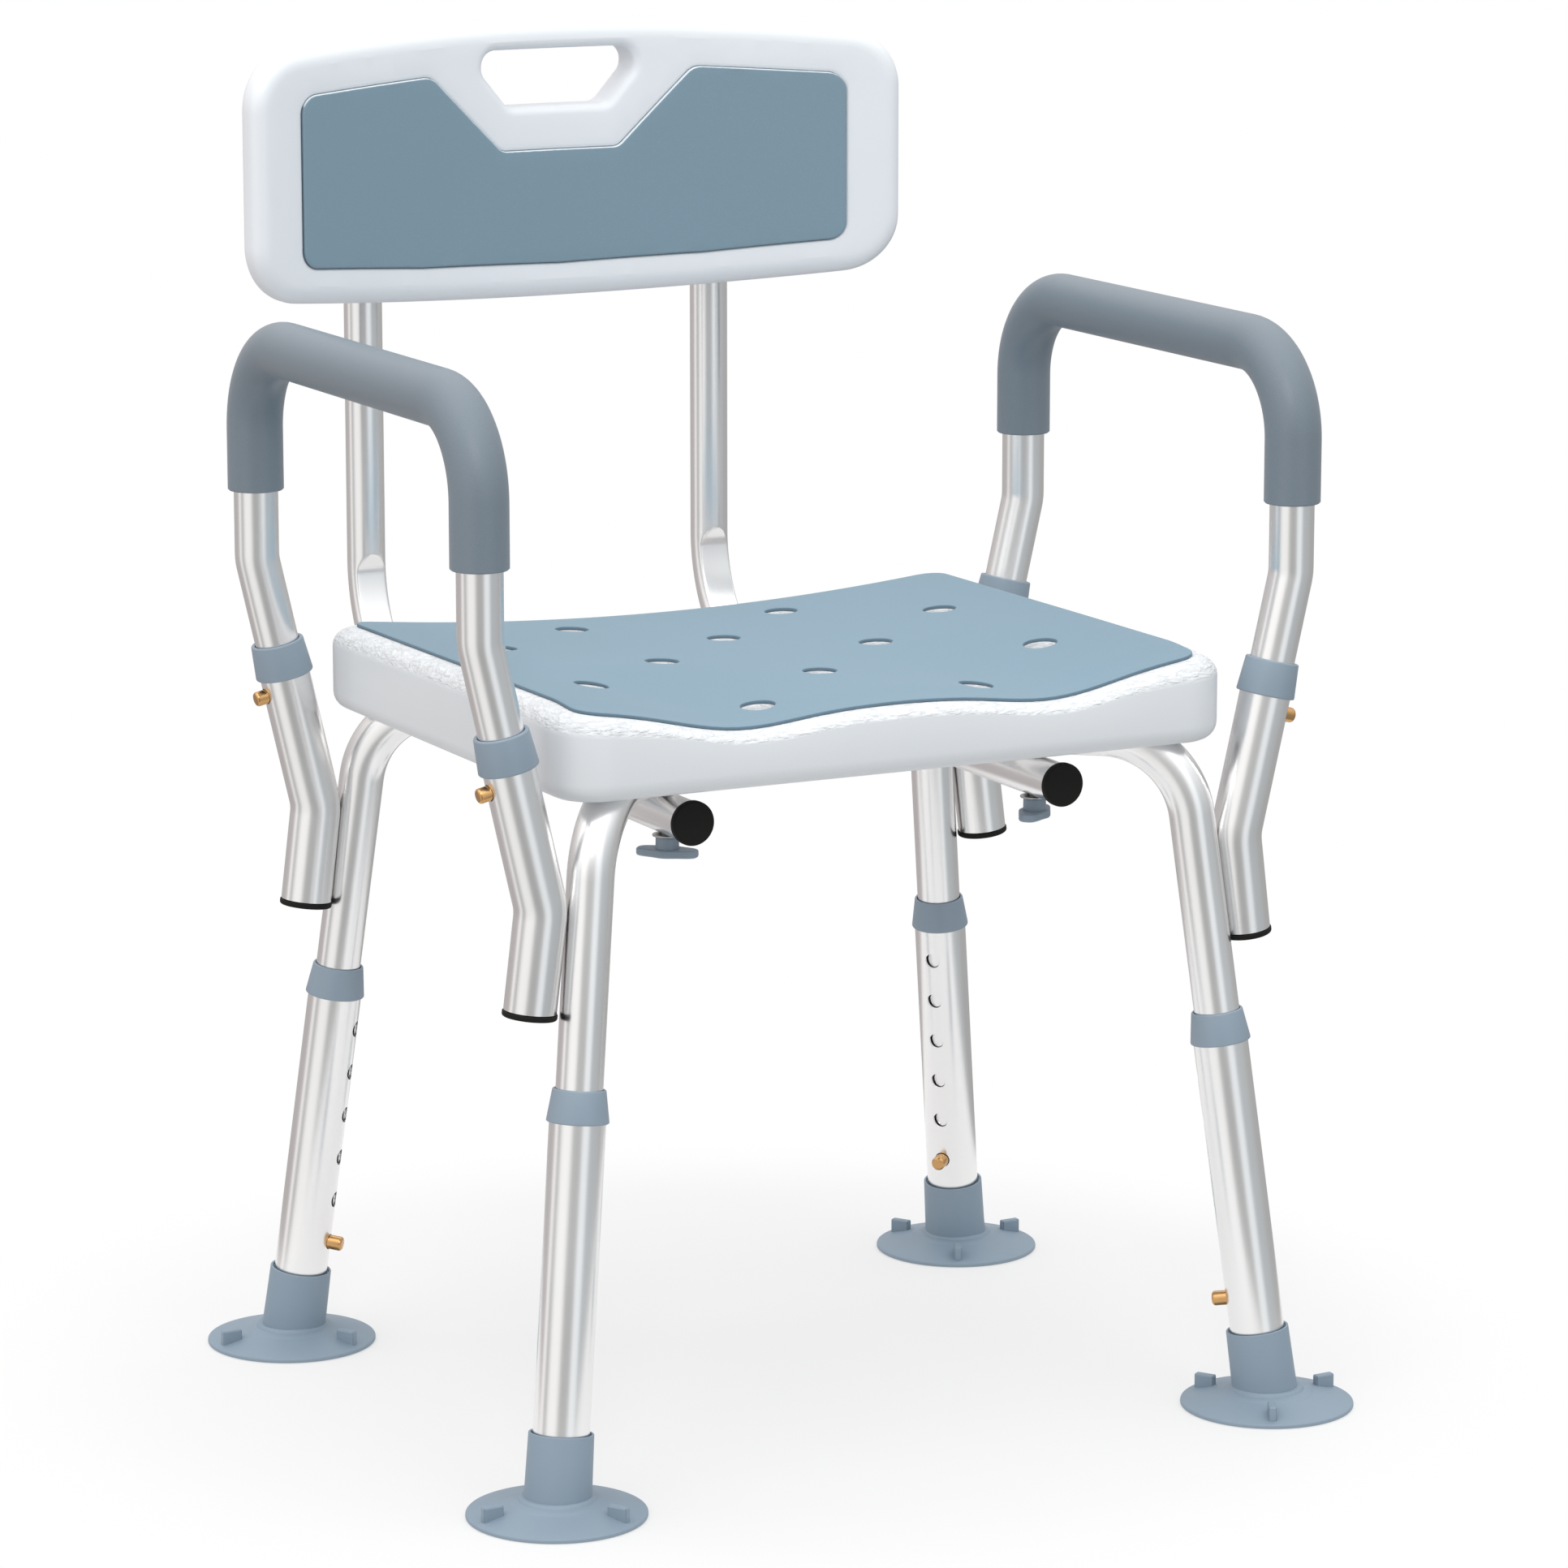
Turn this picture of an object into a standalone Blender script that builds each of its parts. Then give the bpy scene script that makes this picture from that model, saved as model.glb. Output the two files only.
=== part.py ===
"""Shower chair: hollow seat, curved backrest, lift-off arms and height-adjusting legs.

Sizes below and the modelling are in millimetres; to_metres scales the finished objects.
+Z is up and the front faces -Y.
"left" is -X and "right" is +X as seen from the front; f is front, r is rear.
"""
from math import cos, exp, hypot, pi, radians, sin, sqrt

import bmesh
import bpy
from mathutils import Matrix, Quaternion, Vector

MM = 0.001
MIDDLE_Y = 44.8      # middle of the chair, measured back from the middle of its feet
GAP = 0.3            # clearance between pieces that touch
SIDES = 10           # sides of a round tube

# Seat
SEAT_HALF_WIDTH = 200.0
SEAT_FRONT, SEAT_REAR = -163.5, 166.5
SEAT_CORNER = 27.0
SEAT_BOTTOM = 372.6
SEAT_EDGE_ROUND = 10.0
SEAT_WALL = 3.0
PAD_INSET = 13.2     # from the seat's side to the pad's edge
PAD_THICK = 1.8
PAD_GAP = 0.3
PAD_MIDDLE_Z = 411.3
PAD_TILT = 0.007     # fall per unit towards the back
THIGH_DIP = 8.6      # depth of each thigh dip at the front
HOLE_R = 9.25        # drain hole in the pad
SHELL_HOLE_R = 8.6   # drain hole in the shell
HOLE_ROWS = ((117, (-66, 66)), (58, (-137, 0, 137)), (1, (-66, 66)),
             (-59, (-137, 0, 137)), (-115, (-66, 66)))

# Legs: both leg frames are bent tubes in upright planes that cross at the seat's centre
LEG_SLOPE = 0.830            # y per x of a leg frame's plane
FOOT_RHO = 281.8             # foot centre, from the seat's centre
LEG_LEAN = 0.1395            # inward per unit of height
FRAME_Z = 374.6              # axis of the straight top run
FRAME_R, FRAME_WALL = 12.5, 1.5
FRAME_BEND = 50.0
FRAME_END_Z = 44.0
CROSS_HALF_HEIGHT, CROSS_HALF_WIDTH = 5.8, 16.3
CHANNEL_R = 13.5             # groove in the seat's underside along each leg frame
POCKET_R, POCKET_TOP = 41.0, 388.2   # pocket in the seat's underside around the crossing
VENT_Y = 140.0               # vent hole of the hollow seat
CROSS_SHIFT = 6.15           # each frame moves this far up or down where they cross
LEG_TUBE_R, LEG_TUBE_WALL = 15.0, 1.5
LEG_TUBE_BOTTOM, LEG_TUBE_TOP = 8.5, 207.0
HOLE_PITCH = 25.4
LEG_HOLES = 6
BUTTON_Z = 61.7
BUTTON_R = 4.0
BUTTON_HOLE_R = 4.6
LEG_COLLAR = (205.5, 223.0)   # bottom and top
LEG_BUTTON = (4.5, 22.8)      # back and tip, out from the leg's axis
FOOT_PROFILE = ((0, 5.0), (24, 4.5), (44.5, 0), (47.9, 0), (47.9, 2.6), (40, 4.8), (24, 8.6),
                (0, 8.2))
SLEEVE_R, SLEEVE_LOW, SLEEVE_TOP = 17.2, 6.5, 43.5
RIB_RHO, RIB_HALF_LONG, RIB_HALF_WIDE = 38.0, 6.0, 2.25
RIB_LOW, RIB_TOP = 3.5, 11.5
RIB_FACING = {-1: 63.0, 1: -117.0}   # direction of the first rib, left and right feet


# Arms
ARM_X, ARM_Y, ARM_Z = 242.3, 150.0, 581.5
ARM_R, ARM_WALL = 12.25, 1.3
ARM_BEND = 48.0
ARM_KINK_Z = 460.5
ARM_TILT = 0.2317            # x per z of the tube below its kink
ARM_END_Z = 335.0
GRIP_R = 15.5
GRIP_END_Z = 499.0
SOCKET_R, SOCKET_WALL = 14.0, 1.2
SOCKET_KINK_Z, SOCKET_END_Z = 318.5, 264.5
SOCKET_FOOT_TILT = -0.126
ARM_COLLAR_Z, ARM_COLLAR_HALF = 403.7, 9.75
ARM_COLLAR_R = 16.2
ARM_BUTTON_Z = 385.5
ARM_BUTTON = (4.2, 20.5)      # back and tip, out from the tube's axis
KINK_BEND = 30.0

# Backrest
POST_X, POST_Y = 111.8, 302.2
POST_R, POST_WALL = 11.1, 1.5
POST_RUN_Z = 350.7
POST_FRONT_Y = -127.5
POST_BEND = 78.0
POST_TOP_Z = 688.0
PANEL_HALF_WIDTH = 206.0
PANEL_Y, PANEL_BOW = 271.3, 1032.0
PANEL_BOTTOM, PANEL_BOTTOM_RISE = 578.7, 11.0
PANEL_TOP, PANEL_TOP_DROP = 739.5, 12.2
PANEL_CORNER = 34.0
PANEL_THICK = 27.0
PANEL_WALL = 3.0
RECESS = 2.6         # depth of the pad's recess in the panel
BOSS_R = 14.6
BOSS_LOW, BOSS_TOP = 597.0, 693.0
BOSS_FRONT_Y = 276.0

# Clamps
CLAMP_Y = -99.0
KNOB_BOTTOM = 327.2
KNOB_HALF_LONG, KNOB_HALF_WIDE, KNOB_MIDDLE_R = 17.5, 7.5, 8.5
HUB_R, HUB_TOP = 6.2, 338.0
WASHER_LOW, WASHER_TOP = 338.3, 339.3
BOLT_R, BOLT_TOP = 3.0, 393.0
BOLT_HOLE_R = 3.6

# Heights well below and well above the seat, for tools that cut right through it
BELOW_SEAT, ABOVE_SEAT = 340.0, 440.0


def clear_scene():
    for obj in list(bpy.data.objects):
        bpy.data.objects.remove(obj, do_unlink=True)


def material(name, rgb, roughness, metallic=0.0):
    mat = bpy.data.materials.new(name)
    mat.use_nodes = True
    bsdf = mat.node_tree.nodes["Principled BSDF"]
    bsdf.inputs["Base Color"].default_value = (*rgb, 1.0)
    bsdf.inputs["Roughness"].default_value = roughness
    bsdf.inputs["Metallic"].default_value = metallic
    mat.diffuse_color = (*rgb, 1.0)
    return mat


# Materials by family: (linear colour, roughness, metallic)
LOOKS = {
    "shell": ((0.82, 0.83, 0.85), 0.45, 0.0),
    "pad": ((0.31, 0.46, 0.55), 0.8, 0.0),
    "grip": ((0.22, 0.30, 0.37), 0.8, 0.0),
    "collar": ((0.24, 0.33, 0.42), 0.5, 0.0),
    "tube": ((0.62, 0.62, 0.63), 0.28, 1.0),
    "brass": ((0.58, 0.38, 0.16), 0.3, 1.0),
    "steel": ((0.5, 0.5, 0.5), 0.35, 1.0),
    "cap": ((0.012, 0.012, 0.012), 0.5, 0.0),
}


def finish(bm, name, look, origin=(0, 0, 0), parent=None, smooth=True):
    """Turn a bmesh in world coordinates into a named object with its origin at origin."""
    bmesh.ops.triangulate(bm, faces=[f for f in bm.faces if len(f.verts) > 3])
    bmesh.ops.recalc_face_normals(bm, faces=bm.faces[:])
    origin = Vector(origin)
    for v in bm.verts:
        v.co -= origin
    mesh = bpy.data.meshes.new(name)
    bm.to_mesh(mesh)
    bm.free()
    if smooth:
        mesh.shade_smooth()
        mesh.set_sharp_from_angle(angle=radians(35))
    mesh.materials.append(material(name, *LOOKS[look]))
    obj = bpy.data.objects.new(name, mesh)
    bpy.context.scene.collection.objects.link(obj)
    obj.location = origin
    if parent:
        obj.parent = parent
        obj.location = origin - parent.location
    return obj


def empty(name, origin):
    obj = bpy.data.objects.new(name, None)
    obj.location = Vector(origin)
    bpy.context.scene.collection.objects.link(obj)
    return obj


def cut(obj, tool, operation="DIFFERENCE"):
    """Apply an exact Boolean and drop the tool."""
    mod = obj.modifiers.new("cut", "BOOLEAN")
    mod.object = tool
    mod.operation = operation
    mod.solver = "EXACT"
    bpy.context.view_layer.update()
    graph = bpy.context.evaluated_depsgraph_get()
    mesh = bpy.data.meshes.new_from_object(obj.evaluated_get(graph))
    old = obj.data
    obj.modifiers.clear()
    obj.data = mesh
    mesh.name = obj.name
    while len(mesh.materials) > 1:
        mesh.materials.pop()
    bpy.data.meshes.remove(old)
    spent = tool.data
    bpy.data.objects.remove(tool, do_unlink=True)
    bpy.data.meshes.remove(spent)


def tool_object(bm, name="tool"):
    obj = finish(bm, name, "steel", smooth=False)
    obj.hide_render = True
    obj.display_type = "WIRE"
    return obj


# ---- curves ----------------------------------------------------------------------------

def rounded_path(points, radii, step=12.0):
    """A polyline through points with its inner corners rounded; step is degrees per facet."""
    points = [Vector(p) for p in points]
    out = [points[0]]
    for a, b, c, r in zip(points, points[1:], points[2:], radii):
        back, ahead = (a - b).normalized(), (c - b).normalized()
        between = back.angle(ahead)
        centre = b + (back + ahead).normalized() * r / sin(between / 2)
        arm = b + back * r * cos(between / 2) / sin(between / 2) - centre
        axis = back.cross(ahead).normalized()
        turn = pi - between
        count = max(2, round(turn / radians(step)))
        out += [centre + Quaternion(axis, -turn * i / count).to_matrix() @ arm
                for i in range(count + 1)]
    out.append(points[-1])
    return out


def rings_along(path, half_sizes, sides, normal):
    """Rings of points around a path; half_sizes gives each station's two half widths."""
    path = [Vector(p) for p in path]
    side = Vector(normal).normalized()
    rings = []
    for i, here in enumerate(path):
        before = (here - path[i - 1]).normalized() if i else None
        after = (path[i + 1] - here).normalized() if i < len(path) - 1 else None
        tangent = ((before or after) + (after or before)).normalized()
        side = (side - tangent * side.dot(tangent)).normalized()
        up = tangent.cross(side)
        stretch = 1.0
        if before and after:
            stretch = 1.0 / max(0.5, cos(before.angle(after) / 2))
        a, b = half_sizes[i]
        rings.append([here + side * a * cos(t) + up * b * stretch * sin(t)
                      for t in (2 * pi * (k + 0.5) / sides for k in range(sides))])
    return rings


def join_rings(bm, rings, close=False):
    """Skin between rings of equal count; close also joins the last ring to the first."""
    made = [[bm.verts.new(p) for p in ring] for ring in rings]
    pairs = list(zip(made, made[1:]))
    if close:
        pairs.append((made[-1], made[0]))
    n = len(made[0])
    for low, high in pairs:
        for k in range(n):
            bm.faces.new((low[k], low[(k + 1) % n], high[(k + 1) % n], high[k]))
    return made


def prism(rings):
    """A solid skinned over rings and closed at both ends."""
    bm = bmesh.new()
    made = join_rings(bm, rings)
    bm.faces.new(made[0])
    bm.faces.new(made[-1])
    return bm


def solid_sweep(path, half_sizes, sides, normal):
    return prism(rings_along(path, half_sizes, sides, normal))


def pipe(path, r, wall, normal, sides=SIDES, sizes=None):
    """A tube with both ends open."""
    outer = sizes or [(r, r)] * len(path)
    inner = [(a - wall, b - wall) for a, b in outer]
    bm = bmesh.new()
    rings = rings_along(path, outer, sides, normal)
    rings += rings_along(path, inner, sides, normal)[::-1]
    join_rings(bm, rings, close=True)
    return bm


def turned(profile, base, axis, sides=24, normal=(0, 1, 0)):
    """A turned solid: profile is (radius, distance along the axis) pairs; a radius of 0 is a pole."""
    axis = Vector(axis).normalized()
    side = Vector(normal)
    side = (side - axis * side.dot(axis)).normalized()
    up = axis.cross(side)
    bm = bmesh.new()
    made = []
    for r, h in profile:
        centre = Vector(base) + axis * h
        if r == 0:
            made.append([bm.verts.new(centre)])
            continue
        made.append([bm.verts.new(centre + side * r * cos(t) + up * r * sin(t))
                     for t in (2 * pi * (k + 0.5) / sides for k in range(sides))])
    for low, high in zip(made, made[1:] + made[:1]):
        for k in range(sides):
            n = (k + 1) % sides
            ring = [low[k % len(low)], low[n % len(low)], high[n % len(high)], high[k % len(high)]]
            unique = list(dict.fromkeys(ring))
            if len(unique) > 2:
                bm.faces.new(unique)
    return bm


def rod(start, end, r, sides=8):
    axis = Vector(end) - Vector(start)
    return turned(((0, 0), (r, 0), (r, axis.length), (0, axis.length)), start, axis, sides,
                  (0.3, 0.5, 0.7))


def rounded_outline(corners, radii, step=15.0):
    """Closed flat outline through corners, each rounded by its radius unless that is 0."""
    out = []
    count = len(corners)
    for i, (corner, r) in enumerate(zip(corners, radii)):
        if not r:
            out.append(corner)
            continue
        middle = [Vector((*p, 0.0)) for p in (corners[i - 1], corner, corners[(i + 1) % count])]
        out += [(p.x, p.y) for p in rounded_path(middle, (r,), step)[1:-1]]
    return out


def inset(outline, distance):
    """Move each point of a closed anticlockwise outline inwards."""
    out = []
    n = len(outline)
    for i in range(n):
        (ax, ay), (bx, by), (cx, cy) = outline[i - 1], outline[i], outline[(i + 1) % n]
        one = Vector((by - ay, ax - bx)).normalized()
        two = Vector((cy - by, bx - cx)).normalized()
        mid = (one + two).normalized()
        reach = distance / max(0.3, mid.dot(one))
        out.append((bx - mid.x * reach, by - mid.y * reach))
    return out


def slice_caps(bm, caps, planes):
    """Divide the cap faces along planes, so that a bent surface has points to follow it."""
    for face in caps:
        face.material_index = 1
    for point, direction in planes:
        faces = [f for f in bm.faces if f.material_index == 1]
        geom = faces + list(dict.fromkeys(e for f in faces for e in f.edges))
        geom += list(dict.fromkeys(v for f in faces for v in f.verts))
        bmesh.ops.bisect_plane(bm, geom=geom, dist=1e-4, plane_co=point, plane_no=direction)
    caps = [f for f in bm.faces if f.material_index == 1]
    for face in caps:
        face.material_index = 0
    return caps


# ---- seat ------------------------------------------------------------------------------

def smooth_ramp(t):
    t = min(1.0, max(0.0, t))
    return t * t * (3 - 2 * t)


def pad_height(x, y):
    """Top of the seat pad: dished across, with a dip for each thigh and a rolled front."""
    thigh = THIGH_DIP * exp(-(((abs(x) - 96.0) / 48.0) ** 2)) * smooth_ramp(-y / 130.0)
    dish = 9.7 * (x / 180.0) ** 2
    roll = 1.9 * smooth_ramp((-y - 115.0) / 32.0)
    return PAD_MIDDLE_Z - PAD_TILT * y + dish - thigh - roll


def shell_height(x, y):
    return pad_height(x, y) - PAD_THICK - PAD_GAP


def seat_outline():
    w, f, r = SEAT_HALF_WIDTH, SEAT_FRONT, SEAT_REAR
    corners = [(-w, f), (w, f), (w, r), (-w, r)]
    points = rounded_outline(corners, (SEAT_CORNER,) * 4, 24)
    out = []
    for (ax, ay), (bx, by) in zip(points, points[1:] + points[:1]):
        pieces = max(1, round(hypot(bx - ax, by - ay) / 48.0))
        out += [(ax + (bx - ax) * k / pieces, ay + (by - ay) * k / pieces) for k in range(pieces)]
    return out


def band_height(x):
    """Height of the rounded band between the seat's upright side and the pad's edge."""
    return 5.5 + 4.8 * smooth_ramp((abs(x) - 120.0) / 60.0)


# Planes that divide the seat's top so that it can follow pad_height
GRID = [(Vector((x, 0, 0)), Vector((1, 0, 0))) for x in range(-160, 161, 32)]
GRID += [(Vector((0, y, 0)), Vector((0, 1, 0))) for y in (-120, -90, -50, 40)]


def seat_solid(shrink=0.0):
    """The seat's closed outer shape, or its inner cavity when shrunk by the wall."""
    outline = seat_outline()
    edge = inset(outline, PAD_INSET)
    bottom = SEAT_BOTTOM + shrink
    bm = bmesh.new()
    rings = []
    for a in (90, 45, 0):
        r = SEAT_EDGE_ROUND
        ring = inset(outline, max(shrink, r * (1 - cos(radians(a)))))
        rings.append([(x, y, bottom + r * (1 - sin(radians(a)))) for x, y in ring])
    for a in (0, 45, 90):
        depth = PAD_INSET * (1 - cos(radians(a)))
        ring = inset(outline, max(shrink, depth))
        drop = 1 - sin(radians(a))
        rings.append([(x, y, shell_height(ex, ey) - shrink - band_height(ex) * drop)
                      for (x, y), (ex, ey) in zip(ring, edge)])
    made = join_rings(bm, rings)
    bm.faces.new(made[0])
    caps = slice_caps(bm, [bm.faces.new(made[-1])], GRID)
    for v in dict.fromkeys(v for f in caps for v in f.verts):
        v.co.z = shell_height(v.co.x, v.co.y) - shrink
    return bm


def seat_pad():
    outline = inset(seat_outline(), PAD_INSET + 0.5)
    bm = bmesh.new()
    rings = [[(x, y, pad_height(x, y) - drop) for x, y in ring]
             for ring, drop in ((outline, PAD_THICK), (outline, 0.8), (inset(outline, 0.8), 0.0))]
    made = join_rings(bm, rings)
    for ring, drop in ((made[0], PAD_THICK), (made[-1], 0.0)):
        caps = slice_caps(bm, [bm.faces.new(ring)], GRID)
        for v in dict.fromkeys(v for f in caps for v in f.verts):
            v.co.z = pad_height(v.co.x, v.co.y) - drop
    pad = finish(bm, "seat_pad", "pad")
    for x, y in drain_holes():
        cut(pad, upright_bar(x, y, HOLE_R, 10))


def drain_holes():
    return [(x, y) for y, xs in HOLE_ROWS for x in xs]


def upright_bar(x, y, r, sides=8, low=BELOW_SEAT, top=ABOVE_SEAT):
    return tool_object(rod((x, y, low), (x, y, top), r, sides))


def frame_bar(sign, r):
    """A bar along a leg frame's top run, for its groove in the seat."""
    path = [p for p in frame_path(sign, 0.0)[0] if p.z > BELOW_SEAT]
    return tool_object(solid_sweep(path, [(r, r)] * len(path), SIDES, frame_normal(sign)))


def seat_shell():
    """A hollow moulding with drain columns, grooves for the leg frames and bolt sockets."""
    shell = finish(seat_solid(), "seat_shell", "shell")
    hollow = tool_object(seat_solid(SEAT_WALL), "hollow")
    for x, y in drain_holes():
        cut(hollow, upright_bar(x, y, SHELL_HOLE_R + SEAT_WALL, 6))
        cut(shell, upright_bar(x, y, SHELL_HOLE_R))
    for sign in (1, -1):
        cut(hollow, upright_bar(sign * POST_X, CLAMP_Y, 9.0))
        cut(hollow, frame_bar(sign, CHANNEL_R + SEAT_WALL))
    cut(hollow, upright_bar(0, 0, POCKET_R + SEAT_WALL, 12, top=POCKET_TOP + SEAT_WALL))
    cut(shell, hollow)
    for sign in (1, -1):
        cut(shell, frame_bar(sign, CHANNEL_R))
    cut(shell, upright_bar(0, 0, POCKET_R, 12, top=POCKET_TOP))
    for sign in (1, -1):
        cut(shell, upright_bar(sign * POST_X, CLAMP_Y, 3.5, top=BOLT_TOP + 4))
    cut(shell, upright_bar(0, VENT_Y, 4.0, top=SEAT_BOTTOM + 7))


# ---- leg frames and legs ---------------------------------------------------------------

def plane_direction(sign):
    """Horizontal direction of a leg frame's plane; sign 1 runs front left to rear right."""
    return Vector((1, sign * LEG_SLOPE, 0)).normalized()


def frame_normal(sign):
    return plane_direction(sign).cross(Vector((0, 0, 1)))


def frame_path(sign, shift):
    """Axis of a leg frame, with its half widths, shifted by shift where the frames cross."""
    along = plane_direction(sign)
    rho = lambda z: FOOT_RHO - LEG_LEAN * z
    corner = rho(FRAME_Z)
    spots = [(-rho(FRAME_END_Z), FRAME_END_Z), (-corner, FRAME_Z), (corner, FRAME_Z),
             (rho(FRAME_END_Z), FRAME_END_Z)]
    path = rounded_path([along * r + Vector((0, 0, z)) for r, z in spots],
                        (FRAME_BEND, FRAME_BEND), 20)
    crossing = [along * r + Vector((0, 0, FRAME_Z)) for r in (-40, -30, -20, 20, 30, 40)]
    half = len(path) // 2
    path = path[:half] + crossing + path[half:]
    sizes = []
    for p in path:
        flat = 1.0 - smooth_ramp((hypot(p.x, p.y) - 20.0) / 20.0)
        p.z += shift * flat
        sizes.append((FRAME_R + (CROSS_HALF_WIDTH - FRAME_R) * flat,
                      FRAME_R + (CROSS_HALF_HEIGHT - FRAME_R) * flat))
    return path, sizes


def leg_frame(name, sign, shift):
    path, sizes = frame_path(sign, shift)
    frame = finish(pipe(path, FRAME_R, FRAME_WALL, frame_normal(sign), sizes=sizes), name, "tube")
    for end in (-1, 1):
        inward = leg_axes(sign, end)[1]
        at = leg_point(sign, end, BUTTON_Z)
        cut(frame, tool_object(rod(at, at + inward * 30, BUTTON_HOLE_R)))
    cut(frame, upright_bar(-sign * POST_X, CLAMP_Y, BOLT_HOLE_R))


def leg_axes(sign, end):
    """A leg's foot centre, its inward direction square to the leg, and its downward axis."""
    out = plane_direction(sign) * end
    down = (out * LEG_LEAN - Vector((0, 0, 1))).normalized()
    inward = -(out - down * out.dot(down)).normalized()
    return out * FOOT_RHO, inward, down


def leg_point(sign, end, z):
    out = plane_direction(sign) * end
    return out * (FOOT_RHO - LEG_LEAN * z) + Vector((0, 0, z))


LEGS = (("fl", 1, -1), ("fr", -1, 1), ("rl", -1, -1), ("rr", 1, 1))


def leg(name, sign, end):
    inward, down = leg_axes(sign, end)[1:]
    holder = empty("leg_axis_" + name, leg_point(sign, end, LEG_TUBE_TOP))
    path = [leg_point(sign, end, LEG_TUBE_BOTTOM), leg_point(sign, end, LEG_TUBE_TOP)]
    tube = finish(pipe(path, LEG_TUBE_R, LEG_TUBE_WALL, frame_normal(sign)),
                  "leg_tube_" + name, "tube", path[1], holder)
    first = leg_point(sign, end, BUTTON_Z)
    for k in range(LEG_HOLES):
        at = first - down * HOLE_PITCH * k
        cut(tube, tool_object(rod(at + inward * 8, at + inward * 30, BUTTON_HOLE_R + 0.2, 6)))
    leg_collar(name, sign, end, down, holder)
    foot(name, sign, end, holder)
    button("leg_button_" + name, first, inward, LEG_BUTTON)
    snap_spring("leg_spring_" + name, first, inward, -down, FRAME_R - FRAME_WALL)


def leg_collar(name, sign, end, down, holder):
    low, high = LEG_COLLAR
    base = leg_point(sign, end, low)
    lift = (leg_point(sign, end, high) - base).length
    seat = (leg_point(sign, end, LEG_TUBE_TOP) - base).length + 0.4
    bore, lip = LEG_TUBE_R + 0.6, FRAME_R + 0.8
    profile = ((16.7, 0), (16.7, 1.5), (14.5, lift - 1), (14.0, lift), (lip, lift), (lip, seat),
               (bore, seat), (bore, 0))
    finish(turned(profile, base, -down, 12, frame_normal(sign)), "leg_collar_" + name, "collar",
           base, holder)


def foot(name, sign, end, holder):
    """A wide cupped foot with a leaning sleeve and three ribs around it."""
    centre = leg_axes(sign, end)[0]
    cup = finish(turned(FOOT_PROFILE, centre, (0, 0, 1), 20), "foot_" + name, "collar", centre,
                 holder)
    low, high = leg_point(sign, end, SLEEVE_LOW), leg_point(sign, end, SLEEVE_TOP)
    cut(cup, tool_object(rod(low, high, SLEEVE_R, 12)), "UNION")
    for turn in (0, 120, 240):
        angle = radians(RIB_FACING[end] + turn)
        way = Vector((cos(angle), sin(angle), 0))
        cut(cup, rib(centre + way * RIB_RHO, way), "UNION")
    bore = leg_point(sign, end, LEG_TUBE_BOTTOM - 0.4)
    cut(cup, tool_object(rod(bore, leg_point(sign, end, 60), LEG_TUBE_R + 0.9, 12)))


def rib(at, way):
    """A small upright block, long towards the foot's rim."""
    across = way.cross(Vector((0, 0, 1)))
    corners = [at + way * a * RIB_HALF_LONG + across * b * RIB_HALF_WIDE
               for a, b in ((-1, -1), (1, -1), (1, 1), (-1, 1))]
    return tool_object(prism([[c + Vector((0, 0, z)) for c in corners]
                              for z in (RIB_LOW, RIB_TOP)]))


def button(name, at, outward, reach):
    """A snap button that slides along outward; its origin is on its axis."""
    back, tip = reach
    profile = ((0, back), (BUTTON_R, back), (BUTTON_R, tip - 2.2), (BUTTON_R * 0.8, tip - 0.7),
               (0, tip))
    finish(turned(profile, at, outward, 8, (0.2, 0.3, 0.9)), name, "brass", at)


def snap_spring(name, at, outward, up, inner_r):
    """A folded leaf spring inside the tube, bearing on the back of the button."""
    thick, half_width, length = 0.7, 3.5, 42.0
    near, far = 3.6, -(inner_r - 3.2)
    points = [at + outward * near - up * 6, at + outward * near + up * 6,
              at + outward * (far + 1.2) + up * length, at + outward * far + up * length,
              at + outward * far - up * 4]
    path = rounded_path(points, (12, 0.55, 0.55), 60)
    across = outward.cross(up)
    root2 = sqrt(2)
    bm = solid_sweep(path, [(half_width * root2, thick / 2 * root2)] * len(path), 4, across)
    finish(bm, name, "steel", at, smooth=False)


# ---- arms ------------------------------------------------------------------------------

def arm_point(side, end, z):
    """On the axis of an arm tube below its kink."""
    return Vector((side * (ARM_X - ARM_TILT * (ARM_KINK_Z - z)), end * ARM_Y, z))


def arm_axis(side):
    return Vector((side * ARM_TILT, 0, 1)).normalized()


def arm_path(side, low_z, low_point=None):
    ends = [low_point(e) if low_point else arm_point(side, e, low_z) for e in (-1, 1)]
    kinks = [arm_point(side, e, ARM_KINK_Z) for e in (-1, 1)]
    tops = [Vector((side * ARM_X, e * ARM_Y, ARM_Z)) for e in (-1, 1)]
    if low_point:
        return rounded_path((ends[0], tops[0], tops[1], ends[1]), (ARM_BEND,) * 2, 18)
    return rounded_path((ends[0], kinks[0], tops[0], tops[1], kinks[1], ends[1]),
                        (KINK_BEND, ARM_BEND, ARM_BEND, KINK_BEND), 18)


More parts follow.
